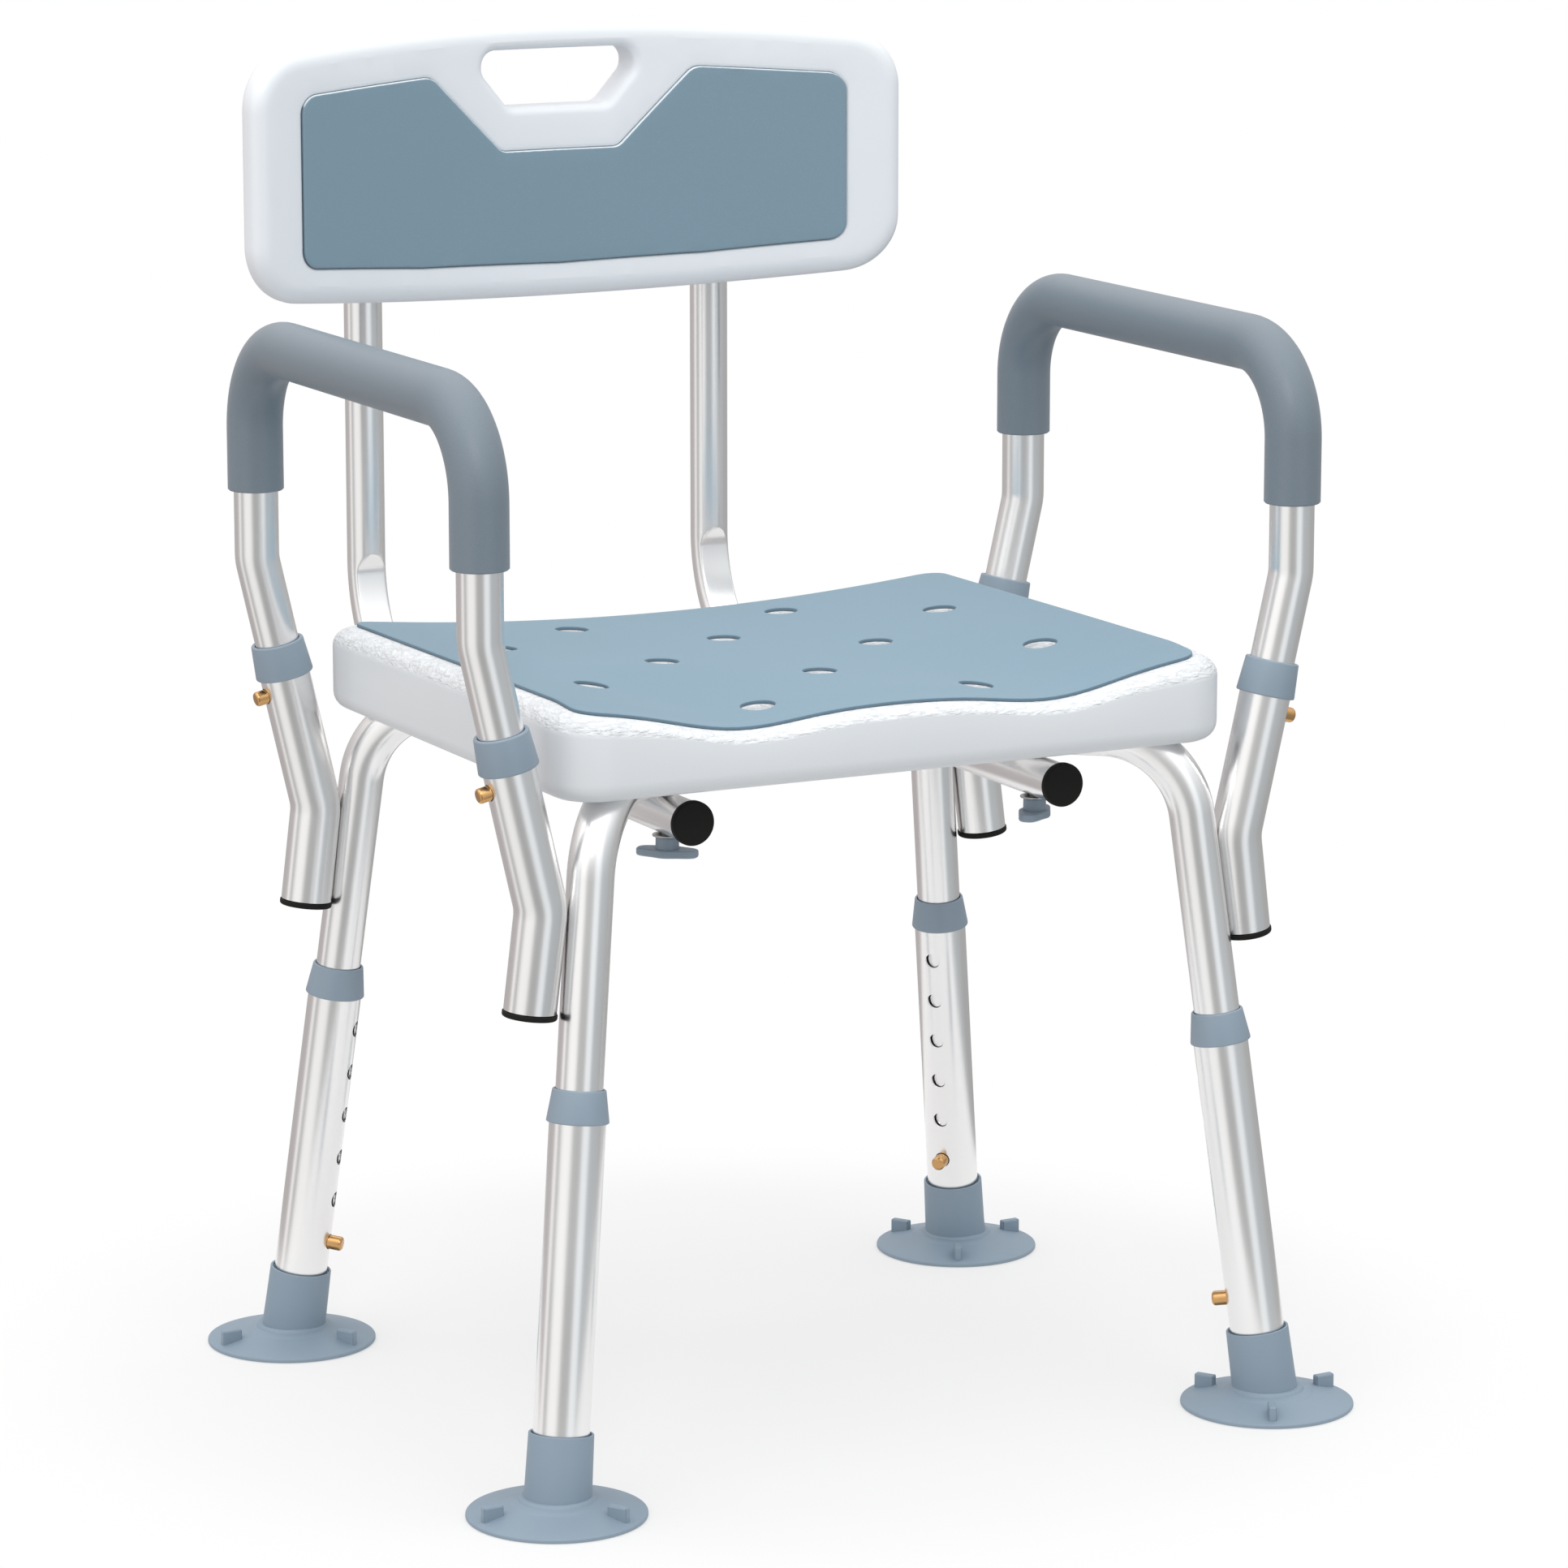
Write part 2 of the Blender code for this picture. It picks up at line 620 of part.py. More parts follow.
def arm(side, name):
    origin = arm_point(side, -1, ARM_END_Z)
    holder = empty("arm_axis_" + name, origin)
    tube = finish(pipe(arm_path(side, ARM_END_Z), ARM_R, ARM_WALL, (1, 0, 0)), "arm_tube_" + name,
                  "tube", origin, holder)
    upright = lambda e: Vector((side * ARM_X, e * ARM_Y, GRIP_END_Z))
    grip_path = arm_path(side, GRIP_END_Z, upright)
    finish(pipe(grip_path, GRIP_R, GRIP_R - ARM_R - 0.4, (1, 0, 0)), "arm_grip_" + name, "grip",
           origin, holder)
    for end, tag in ((-1, "f"), (1, "r")):
        outward = Vector((side, 0, -ARM_TILT)).normalized()
        at = arm_point(side, end, ARM_BUTTON_Z)
        full = "_%s%s" % (tag, name[0])
        cut(tube, tool_object(rod(at, at + outward * 30, BUTTON_HOLE_R)))
        socket(side, end, full, at, outward)
        button("arm_button" + full, at, outward, ARM_BUTTON)
        snap_spring("arm_spring" + full, at, outward, -arm_axis(side), ARM_R - ARM_WALL)


def socket(side, end, tag, hole, outward):
    kink = arm_point(side, end, SOCKET_KINK_Z)
    low = kink + Vector((side * SOCKET_FOOT_TILT * (SOCKET_END_Z - SOCKET_KINK_Z), 0,
                         SOCKET_END_Z - SOCKET_KINK_Z))
    collar = arm_point(side, end, ARM_COLLAR_Z)
    axis = arm_axis(side)
    top = collar + axis * 5.0
    path = rounded_path((low, kink, top), (KINK_BEND,), 11)
    tube = finish(pipe(path, SOCKET_R, SOCKET_WALL, (1, 0, 0)), "arm_socket" + tag, "tube", low)
    cut(tube, tool_object(rod(hole + outward * 5, hole + outward * 30, BUTTON_HOLE_R)))
    ending = (low - kink).normalized()
    cap = ((0, 3.2), (SOCKET_R - 1, 3.2), (SOCKET_R + 0.6, 2.2), (SOCKET_R + 0.6, GAP),
           (SOCKET_R - SOCKET_WALL - 0.8, GAP), (SOCKET_R - SOCKET_WALL - 0.8, -8), (0, -8))
    finish(turned(cap, low, ending, 12), "arm_socket_cap" + tag, "cap", low)
    base = collar - axis * ARM_COLLAR_HALF
    lift = 2 * ARM_COLLAR_HALF
    seat = ARM_COLLAR_HALF + 5.4
    bore, lip = SOCKET_R + 0.6, ARM_R + 0.8
    r = ARM_COLLAR_R
    ring = ((r, 0), (r, 1.5), (r - 1.1, lift - 1), (r - 1.6, lift), (lip, lift), (lip, seat),
            (bore, seat), (bore, 0))
    finish(turned(ring, base, axis, 12), "arm_collar" + tag, "collar", base)


# ---- backrest --------------------------------------------------------------------------

def panel_front(x):
    return PANEL_Y - x * x / PANEL_BOW


def panel_outline(step=22.0):
    """Seen from the front: x to the right, z up, anticlockwise."""
    w = PANEL_HALF_WIDTH
    bottom = lambda x: PANEL_BOTTOM + PANEL_BOTTOM_RISE * (x / w) ** 2
    top = lambda x: PANEL_TOP - PANEL_TOP_DROP * (x / w) ** 2
    xs = [-156 + 52 * k for k in range(7)]
    corners = [(-w, bottom(w))] + [(x, bottom(x)) for x in xs] + [(w, bottom(w)), (w, top(w))]
    corners += [(x, top(x)) for x in xs[::-1]] + [(-w, top(w))]
    radii = [PANEL_CORNER if abs(x) == w else 0.0 for x, z in corners]
    return rounded_outline(corners, radii, step)


# Planes that divide the panel's front and back so that they can bend
STRIPS = [(Vector((x, 0, 0)), Vector((1, 0, 0))) for x in range(-182, 183, 52)]


def bent_slab(rings):
    """A solid from (outline, depth) rings, front first, bent to the panel's curve."""
    bm = bmesh.new()
    made = join_rings(bm, [[(x, depth, z) for x, z in ring] for ring, depth in rings])
    caps = [bm.faces.new(made[0]), bm.faces.new(made[-1])]
    slice_caps(bm, caps, STRIPS)
    for v in bm.verts:
        v.co.y += panel_front(v.co.x)
    return bm


def rounded_slab(outline, thick, front_round, back_round, shrink=0.0):
    rings = []
    for a in (90, 45, 0):
        rings.append((inset(outline, shrink + front_round * (1 - cos(radians(a)))),
                      shrink + front_round * (1 - sin(radians(a)))))
    for a in (0, 45, 90):
        rings.append((inset(outline, shrink + back_round * (1 - cos(radians(a)))),
                      thick - shrink - back_round * (1 - sin(radians(a)))))
    return bent_slab(rings)


def back_pad_outline():
    right = [(0, 599.3), (90, 601.6), (172.7, 607.6), (172.7, 704.4), (83.8, 710.4),
             (37.4, 665.0)]
    left = [(-x, z) for x, z in right[:0:-1]]
    radii = [0, 60, 10, 11, 11, 9]
    return rounded_outline(right + left, radii + radii[:0:-1], 20)


def handle_outline(grow=0.0):
    right = [(31.5, 690), (48.5, 710), (48.5, 723.3)]
    corners = right + [(-x, z) for x, z in right[::-1]]
    outline = rounded_outline(corners, (9, 9, 9, 9, 9, 9), 25)
    return inset(outline, -grow) if grow else outline


def straight_prism(outline, front=240.0, back=320.0):
    return tool_object(prism([[(x, y, z) for x, z in outline] for y in (front, back)]))


def boss_block(side):
    """A rear boss: half round around the post, square towards the panel."""
    x, r = side * POST_X, BOSS_R
    arc = [(x + r * cos(t), POST_Y + r * sin(t)) for t in (pi * k / 8 for k in range(9))]
    outline = arc + [(x - r, BOSS_FRONT_Y), (x + r, BOSS_FRONT_Y)]
    return tool_object(prism([[(px, py, z) for px, py in outline] for z in (BOSS_LOW, BOSS_TOP)]))


def backrest_shell():
    outline = panel_outline()
    shell = finish(rounded_slab(outline, PANEL_THICK, 11.0, 9.0), "backrest_shell", "shell")
    hollow = tool_object(rounded_slab(outline, PANEL_THICK, 8.0, 6.0, PANEL_WALL), "hollow")
    pad_edge = back_pad_outline()
    recess = [(inset(pad_edge, -GAP - PANEL_WALL), d) for d in (-5.0, RECESS + PANEL_WALL)]
    cut(hollow, tool_object(bent_slab(recess)))
    cut(hollow, straight_prism(handle_outline(PANEL_WALL)))
    cut(shell, hollow)
    for side in (-1, 1):
        cut(shell, boss_block(side), "UNION")
    recess = [(inset(pad_edge, -GAP), d) for d in (-5.0, RECESS)]
    cut(shell, tool_object(bent_slab(recess)))
    cut(shell, straight_prism(handle_outline()))
    for side in (-1, 1):
        x = side * POST_X
        low, high = (x, POST_Y, 560), (x, POST_Y, POST_TOP_Z + 1)
        cut(shell, tool_object(rod(low, high, POST_R + 0.7, 16)))
    cut(shell, tool_object(rod((0, 286, 570), (0, 286, 590), 3.0)))


def backrest_pad():
    edge = back_pad_outline()
    rings = ((inset(edge, 0.8), -0.6), (edge, 0.2), (edge, RECESS - PAD_GAP))
    finish(bent_slab(rings), "backrest_pad", "pad")


def backrest_tube(side, name):
    x = side * POST_X
    path = rounded_path(((x, POST_FRONT_Y, POST_RUN_Z), (x, POST_Y, POST_RUN_Z),
                         (x, POST_Y, POST_TOP_Z)), (POST_BEND,), 15)
    tube = finish(pipe(path, POST_R, POST_WALL, (1, 0, 0)), "backrest_tube_" + name, "tube")
    cut(tube, upright_bar(x, CLAMP_Y, BOLT_HOLE_R, low=330.0, top=370.0))
    inner = POST_R - POST_WALL - 0.6
    cap = ((0, 4.2), (POST_R - 0.5, 4.2), (POST_R + 1.0, 3.0), (POST_R + 1.0, GAP), (inner, GAP),
           (inner, -14), (0, -14))
    finish(turned(cap, (x, POST_FRONT_Y, POST_RUN_Z), (0, -1, 0), 16, (0, 0, 1)),
           "backrest_tube_cap_" + name, "cap", (x, POST_FRONT_Y, POST_RUN_Z))


# ---- clamps ----------------------------------------------------------------------------

def knob_outline(at, turn):
    """An oval grip, longer along turn, kept round in the middle."""
    out = []
    for k in range(24):
        t = 2 * pi * k / 24
        oval = 1 / hypot(cos(t) / KNOB_HALF_LONG, sin(t) / KNOB_HALF_WIDE)
        r = max(KNOB_MIDDLE_R, oval)
        out.append((at.x + r * cos(t + turn), at.y + r * sin(t + turn)))
    return out


def clamp(side, name):
    """A two-winged knob whose bolt passes up through both tubes into the seat."""
    x = side * POST_X
    at = Vector((x, CLAMP_Y, KNOB_BOTTOM))
    up = Vector((0, 0, 1))
    holder = empty("clamp_axis_" + name, at)
    low, top = WASHER_LOW - KNOB_BOTTOM, WASHER_TOP - KNOB_BOTTOM
    washer = ((3.5, low), (8.0, low), (8.0, top), (3.5, top))
    finish(turned(washer, at, up, 14), "clamp_washer_" + name, "steel", at, holder)
    hub = ((0, 0), (HUB_R, 0), (HUB_R, HUB_TOP - KNOB_BOTTOM), (0, HUB_TOP - KNOB_BOTTOM))
    knob = finish(turned(hub, at, up, 14), "clamp_knob_" + name, "collar", at, holder)
    grip = knob_outline(at, radians(90 - side * 45))
    levels = ((1.0, 0.0), (0.0, 1.0), (0.0, 3.4), (1.0, 4.4))
    cut(knob, tool_object(prism([[(px, py, KNOB_BOTTOM + h) for px, py in inset(grip, d)]
                                 for d, h in levels])), "UNION")
    cut(knob, tool_object(rod(at + up * 2.5, at + up * 20, BOLT_R + 0.4)))
    finish(rod(at + up * 2.8, (x, CLAMP_Y, BOLT_TOP), BOLT_R), "clamp_bolt_" + name, "steel", at,
           holder)


def to_metres():
    """Scale to metres, with the origin on the floor under the middle of the whole chair."""
    for obj in bpy.data.objects:
        if not obj.parent:
            obj.location.y -= MIDDLE_Y
        obj.location *= MM
        if obj.type == "MESH":
            obj.data.transform(Matrix.Scale(MM, 4))


def build():
    clear_scene()
    seat_shell()
    seat_pad()
    leg_frame("leg_frame_fl_rr", 1, -CROSS_SHIFT)
    leg_frame("leg_frame_fr_rl", -1, CROSS_SHIFT)
    for name, sign, end in LEGS:
        leg(name, sign, end)
    for side, name in ((-1, "left"), (1, "right")):
        arm(side, name)
        backrest_tube(side, name)
        clamp(side, name)
    backrest_shell()
    backrest_pad()
    to_metres()


build()
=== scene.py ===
"""Shower chair: the finished pieces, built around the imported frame."""
from math import cos, exp, hypot, pi, radians, sin

import bmesh
import bpy
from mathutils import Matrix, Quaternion, Vector
from mathutils.geometry import delaunay_2d_cdt


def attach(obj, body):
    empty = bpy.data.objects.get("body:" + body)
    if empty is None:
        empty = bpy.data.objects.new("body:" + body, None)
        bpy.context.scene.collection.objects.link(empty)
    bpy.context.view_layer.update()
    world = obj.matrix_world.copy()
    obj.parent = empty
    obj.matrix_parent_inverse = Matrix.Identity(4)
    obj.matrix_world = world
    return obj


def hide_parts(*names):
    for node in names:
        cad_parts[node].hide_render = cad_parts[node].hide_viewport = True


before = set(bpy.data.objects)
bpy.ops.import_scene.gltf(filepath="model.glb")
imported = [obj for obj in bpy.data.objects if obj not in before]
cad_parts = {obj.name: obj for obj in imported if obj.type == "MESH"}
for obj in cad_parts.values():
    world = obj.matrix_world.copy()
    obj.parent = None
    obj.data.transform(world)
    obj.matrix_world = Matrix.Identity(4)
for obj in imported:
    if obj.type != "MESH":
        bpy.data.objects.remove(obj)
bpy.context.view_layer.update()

# Sizes are in millimetres, and so are the pieces until put() places them in metres.
MM = 0.001
MIDDLE_Y = 44.8              # middle of the chair, measured back from the middle of its feet

SEAT_HALF_WIDTH = 200.0
SEAT_FRONT, SEAT_REAR = -163.5, 166.5
SEAT_CORNER = 27.0
SEAT_BOTTOM = 372.6
SEAT_EDGE_ROUND = 10.0
PAD_INSET, PAD_THICK, PAD_MIDDLE_Z, PAD_TILT = 13.2, 1.8, 411.3, 0.007
PAD_GAP = 0.3                # between the pad and the shell under it
THIGH_DIP, THIGH_X, THIGH_WIDTH = 8.6, 96.0, 48.0
SEAT_DISH, FRONT_ROLL = 9.7, 1.9
HOLE_R, SHELL_HOLE_R = 9.25, 8.6
HOLE_LIP, SHELL_HOLE_LIP = 1.0, 0.8
HOLE_ROWS = ((117, (-66, 66)), (58, (-137, 0, 137)), (1, (-66, 66)),
             (-59, (-137, 0, 137)), (-115, (-66, 66)))
GROOVE_GAP, GROOVE_LOW = 0.8, 340.0
POCKET_R, POCKET_LOW, POCKET_RISE = 41.0, 360.0, 13.6

LEG_SLOPE, FOOT_RHO, LEG_LEAN = 0.830, 281.8, 0.1395
FRAME_Z, FRAME_R, FRAME_WALL, FRAME_BEND, FRAME_END_Z = 374.6, 12.5, 1.5, 50.0, 44.0
CROSS_HALF_HEIGHT, CROSS_HALF_WIDTH, CROSS_SHIFT = 5.8, 16.3, 6.15
CROSS_FLAT, CROSS_FADE, CROSS_REACH = 18.0, 22.0, 48
LEG_TUBE_R, LEG_TUBE_WALL, LEG_TUBE_BOTTOM, LEG_TUBE_TOP = 15.0, 1.5, 8.5, 207.0
HOLE_PITCH, LEG_HOLES, BUTTON_Z, BUTTON_HOLE_R, BUTTON_R = 25.4, 6, 61.7, 4.5, 4.1
LEG_BUTTON_REACH, ARM_BUTTON_REACH = (4.5, 22.8), (4.2, 20.5)     # from a tube's axis
HOLE_DEPTH = 30              # how far a hole's cutter reaches from a tube's axis
LEG_COLLAR, LEG_COLLAR_RADII = (205.5, 223.0), (16.7, 14.1)
TUBE_GAP, LIP_GAP = 0.3, 0.4
SLEEVE_TOP, RIB_REACH = 43.5, 38
RIB_FACING = {-1: 63.0, 1: -117.0}       # direction of the first rib, left and right feet

ARM_X, ARM_Y, ARM_Z = 242.3, 150.0, 581.5
ARM_R, ARM_WALL, ARM_BEND, ARM_KINK_Z, ARM_TILT, ARM_END_Z = 12.25, 1.3, 48.0, 460.5, 0.2317, 335.0
GRIP_R, GRIP_END_Z = 15.5, 499.0
SOCKET_R, SOCKET_WALL, SOCKET_KINK_Z, SOCKET_END_Z = 14.0, 1.2, 318.5, 264.5
SOCKET_FOOT_TILT, ARM_COLLAR_Z, ARM_COLLAR_HALF, ARM_BUTTON_Z = -0.126, 403.7, 9.75, 385.5
SOCKET_TOP, ARM_COLLAR_RADII, ARM_KINK_BEND = 5.0, (16.2, 14.7), 30

POST_X, POST_Y, POST_R, POST_WALL = 111.8, 302.2, 11.1, 1.5
POST_RUN_Z, POST_FRONT_Y, POST_BEND, POST_TOP_Z = 350.7, -127.5, 78.0, 688.0
FLAT_TOP_Z, FLAT_MIDDLE_Z, FLAT_LOW_Z, FLAT_HALF_WIDTH = 431.5, 419.5, 368.0, 9.0
FLAT_FADE, FLAT_SOFTNESS = 14.0, 0.4
PANEL_HALF_WIDTH, PANEL_Y, PANEL_BOW = 206.0, 271.3, 1032.0
PANEL_BOTTOM, PANEL_BOTTOM_RISE = 578.7, 11.0
PANEL_TOP, PANEL_TOP_DROP = 739.5, 12.2
PANEL_CORNER, PANEL_THICK, RECESS, RECESS_GAP, PAD_PROUD = 34.0, 27.0, 2.6, 0.35, 1.2
BOSS_R, BOSS_LOW, BOSS_HIGH, BOSS_FRONT_Y, BORE_LOW = 14.6, 597.0, 693.0, 277.5, 560.0
CLAMP_Y, KNOB_BOTTOM, HUB_TOP, WASHER_LOW = -99.0, 327.2, 338.0, 338.3
WING_LENGTH, WING_WIDTH, KNOB_R, HUB_R, BOLT_HOLE_R = 17.0, 6.4, 8.4, 6.4, 3.4

ROUND = 48               # facets round a tube


# ---- materials -------------------------------------------------------------------------

class Wire:
    """A number carried by a shader socket; arithmetic on it adds Math nodes."""

    def __init__(self, maker, socket):
        self.maker, self.socket = maker, socket

    def math(self, operation, *values):
        sockets = dict(enumerate(values))
        return self.maker.add("ShaderNodeMath", {"operation": operation}, sockets)

    def __add__(self, other):
        return self.math("ADD", self, other)

    def __sub__(self, other):
        return self.math("SUBTRACT", self, other)

    def __rsub__(self, other):
        return self.math("SUBTRACT", other, self)

    def __mul__(self, other):
        return self.math("MULTIPLY", self, other)

    __radd__ = __add__
    __rmul__ = __mul__


class Nodes:
    """A node tree, filled node by node."""

    def __init__(self, tree):
        self.tree = tree

    def join(self, value, socket):
        """Link a wire or a socket to a socket, or set the socket to a value."""
        if isinstance(value, Wire):
            self.tree.links.new(value.socket, socket)
        elif isinstance(value, bpy.types.NodeSocket):
            self.tree.links.new(value, socket)
        else:
            socket.default_value = value

    def add(self, kind, settings=None, sockets=None, output=0):
        """Add a node: settings first, then its sockets' values or links; gives one output."""
        node = self.tree.nodes.new(kind)
        for key, value in (settings or {}).items():
            if key == "stops":
                set_stops(node.color_ramp.elements, value)
            else:
                setattr(node, key, value)
        for key, value in (sockets or {}).items():
            self.join(value, node.inputs[key])
        return Wire(self, node.outputs[output])

    def vector(self, operation, one, two=None, output="Vector"):
        """Vector maths on one or two vectors."""
        sockets = {0: one} if two is None else {0: one, 1: two}
        return self.add("ShaderNodeVectorMath", {"operation": operation}, sockets, output)

    def ramp(self, factor, low, high):
        """0 below low and 1 above high."""
        return self.add("ShaderNodeMapRange", {"interpolation_type": "SMOOTHSTEP"}, {
            "Value": factor, "From Min": low, "From Max": high})


class Finish(Nodes):
    """One material, with its shader and the nodes that vary it."""

    def __init__(self, name, colour, roughness, metallic=0.0, **constants):
        self.mat = bpy.data.materials.new(name)
        self.mat.use_nodes = True
        super().__init__(self.mat.node_tree)
        self.shader = self.tree.nodes["Principled BSDF"]
        self.feed("Base Color", opaque(colour))
        self.feed("Roughness", roughness)
        self.feed("Metallic", metallic)
        for socket, value in constants.items():
            self.feed(socket.replace("_", " "), value)
        self.mat.diffuse_color = opaque(colour)

    def feed(self, socket, value):
        """Set or link one socket of the shader."""
        self.join(value, self.shader.inputs[socket])

    def place(self, scale=(1.0, 1.0, 1.0)):
        """Object position in metres, scaled along each axis."""
        spot = self.add("ShaderNodeTexCoord", output="Object")
        return self.add("ShaderNodeMapping", {}, {"Vector": spot, "Scale": scale})

    def noise(self, scale, detail=2.0, roughness=0.5, stretch=(1.0, 1.0, 1.0), distortion=0.0):
        """Soft noise from 0 to 1; scale is in features per metre."""
        return self.add("ShaderNodeTexNoise", {}, {
            "Vector": self.place(stretch), "Scale": scale, "Detail": detail,
            "Roughness": roughness, "Distortion": distortion})

    def upward(self):
        """How far the surface faces up, from -1 to 1."""
        facing = self.add("ShaderNodeNewGeometry", output="Normal")
        return self.add("ShaderNodeSeparateXYZ", {}, {"Vector": facing}, output="Z")

    def mix(self, factor, one, two):
        """The first colour where the factor is 0 and the second where it is 1."""
        return self.add("ShaderNodeMix", {"data_type": "RGBA"}, {
            "Factor": factor, "A": opaque(one), "B": opaque(two)}, output="Result")

    def bump(self, height, strength, distance):
        """Raise the surface by a height; distance is in metres."""
        self.feed("Normal", self.add("ShaderNodeBump", {}, {
            "Height": height, "Strength": strength, "Distance": distance}))


def set_stops(elements, stops):
    """Give a colour ramp its stops: (place, colour) pairs."""
    while len(elements) < len(stops):
        elements.new(1.0)
    for stop, (place, colour) in zip(elements, stops):
        stop.position = place
        stop.color = colour


def opaque(colour):
    """A colour with its alpha of 1; a wire stays as it is."""
    return (*colour, 1.0) if isinstance(colour, tuple) else colour


def scaled(colour, share):
    """A colour made darker or lighter by a share."""
    return tuple(c * share for c in colour)


def linear(*rgb):
    """An 8-bit display colour as linear light."""
    return tuple((c / 255 / 12.92) if c < 11 else ((c / 255 + 0.055) / 1.055) ** 2.4 for c in rgb)


def drawn_aluminium():
    """Satin tube: fine drawing lines, a faint warm cast and a little handling haze."""
    f = Finish("satin_aluminium", linear(245, 244, 243), 0.21, 1.0)
    haze = f.noise(9.0, 3.0)
    lines = f.noise(900.0, 2.0, 0.6, (1.0, 1.0, 0.03))
    f.feed("Base Color", f.mix(haze, linear(240, 238, 237), linear(248, 248, 248)))
    f.feed("Roughness", 0.19 + haze * 0.07 + lines * 0.05)
    f.bump(lines, 0.12, 0.00003)
    return f.mat


def moulded_white(name, colour, grain=False):
    """White blow-moulded plastic, with leather grain on upward bands where grain is set; there the
    colour is also painted lighter, most on the grain's folds, as a painted highlight.
    """
    f = Finish(name, colour, 0.36, IOR=1.46)
    cloud = f.noise(14.0, 3.0)
    fine = f.noise(700.0, 2.0)
    tone = f.mix(cloud, scaled(colour, 0.985), scaled(colour, 1.015))
    f.feed("Base Color", tone)
    f.feed("Roughness", 0.33 + cloud * 0.08)
    if not grain:
        f.bump(fine, 0.05, 0.0001)
        return f.mat
    band = f.ramp(f.upward(), 0.12, 0.45)
    warp = f.noise(60.0, 2.0, 0.5)
    creases = f.add("ShaderNodeTexVoronoi", {"feature": "DISTANCE_TO_EDGE"}, {
        "Vector": f.place((0.5, 0.6, 1.7)), "Scale": 230.0}, output="Distance")
    wrinkles = f.noise(240.0, 4.0, 0.6, (0.5, 0.6, 1.6), 1.8)
    folds = f.ramp(creases, 0.0, 0.25) * 0.22 + wrinkles * 1.2
    f.bump((folds + warp * 0.5) * band + fine * 0.03, 1.0, 0.0013)
    # Painted highlight: the upward-facing band is painted lighter, most on the folds. The grain's
    # bump itself is real.
    f.feed("Base Color", f.mix(f.ramp(folds, 0.45, 1.0) * band, tone, linear(233, 235, 237)))
    f.feed("Roughness", 0.34 + band * 0.12 + cloud * 0.05)
    return f.mat


def foam(name, colour, bump, roughness=0.72, cut=None):
    """Closed-cell foam: fine cells, a soft sheen, slow colour drift; cut paints light and shade onto
    the edges by how far they face up.

    cut is (painted edge colour, height of the normal where it starts, height where it is full); the
    colour is darker for painted shade and lighter for a painted highlight."""
    f = Finish(name, colour, roughness, Sheen_Weight=0.12, Sheen_Roughness=0.5)
    drift = f.noise(7.0, 3.0)
    cells = f.noise(1500.0, 2.0, 0.7)
    speck = f.ramp(f.noise(2300.0, 1.0, 0.5), 0.56, 0.74)
    base = f.mix(drift, scaled(colour, 0.97), scaled(colour, 1.03))
    base = f.mix(speck * 0.35, base, scaled(colour, 1.35))
    if cut:
        edge, start, full = cut
        # Painted light: the painted edge colour from cut is laid on by how far the surface faces up,
        # with a ragged border.
        painted_edge_light_mask = f.upward() + f.noise(420.0, 2.0) * 0.3 - 0.15
        low, high = (base, edge) if full > start else (edge, base)
        base = f.mix(f.ramp(painted_edge_light_mask, min(start, full), max(start, full)), low, high)
    f.feed("Base Color", base)
    f.feed("Roughness", roughness - 0.06 + drift * 0.12)
    f.bump(cells, bump, 0.0002)
    return f.mat


def moulded(name, dark, light, roughness, pebble=0.12, gloss=0.5):
    """Injection-moulded plastic with a fine pebble and a slight colour drift."""
    f = Finish(name, dark, roughness, Specular_IOR_Level=gloss)
    drift = f.noise(22.0, 3.0)
    fine = f.noise(1100.0, 2.0)
    f.feed("Base Color", f.mix(drift, dark, light))
    f.feed("Roughness", roughness - 0.05 + drift * 0.1)
    f.bump(fine, pebble, 0.0001)
    return f.mat


def turned_metal(name, dark, light, roughness):
    """Turned or rolled metal: a fine bump and small stains."""
    f = Finish(name, dark, roughness, 1.0)
    stain = f.noise(160.0, 3.0)
    f.feed("Base Color", f.mix(stain, dark, light))
    f.feed("Roughness", roughness - 0.06 + stain * 0.14)
    f.bump(f.noise(2400.0, 2.0), 0.06, 0.00005)
    return f.mat


TUBE = drawn_aluminium()
WHITE = moulded_white("white_plastic", linear(228, 231, 235))
# The seat shell's upward-facing grained bands are painted lighter, as a painted highlight.
WHITE_GRAIN = moulded_white("white_plastic_grained", linear(216, 219, 222), True)
# Seat pad: its edges and drain-hole walls, which face sideways, are painted darker, as painted shade.
SEAT_FOAM = foam("seat_foam", linear(117, 144, 160), 0.25, cut=(linear(92, 116, 132), 0.85, 0.55))
# Backrest pad: its edges that face up are painted near white, as a painted highlight.
BACK_FOAM = foam("back_foam", linear(122, 146, 160), 0.25, cut=(linear(226, 234, 238), 0.3, 0.6))
GRIP_FOAM = foam("grip_foam", linear(110, 122, 132), 0.6, 0.38)
FITTING = moulded("fitting_plastic", linear(131, 146, 160), linear(136, 151, 164), 0.42)
FOOT_RUBBER = moulded("foot_rubber", linear(124, 140, 154), linear(129, 145, 159), 0.55, 0.2)
BLACK = moulded("black_plastic", linear(25, 25, 23), linear(30, 30, 28), 0.6, 0.2, 0.12)
BRASS = turned_metal("brass", linear(194, 149, 98), linear(212, 168, 114), 0.22)
STEEL = turned_metal("plated_steel", linear(168, 168, 168), linear(190, 190, 190), 0.34)


# ---- making meshes ---------------------------------------------------------------------

def put(bm, name, mat, body, slot, *nodes, sharp=35):
    """Scale a mesh to metres, finish it, and let it stand for its nodes."""
    bmesh.ops.recalc_face_normals(bm, faces=bm.faces[:])
    for v in bm.verts:
        v.co = Vector((v.co.x, v.co.y - MIDDLE_Y, v.co.z)) * MM
    mesh = bpy.data.meshes.new(name)
    bm.to_mesh(mesh)
    bm.free()
    mesh.shade_smooth()
    mesh.set_sharp_from_angle(angle=radians(sharp))
    mesh.materials.append(mat)
    obj = bpy.data.objects.new(name, mesh)
    bpy.context.scene.collection.objects.link(obj)
    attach(obj, body)
    if nodes:
        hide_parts(*nodes)
    return obj


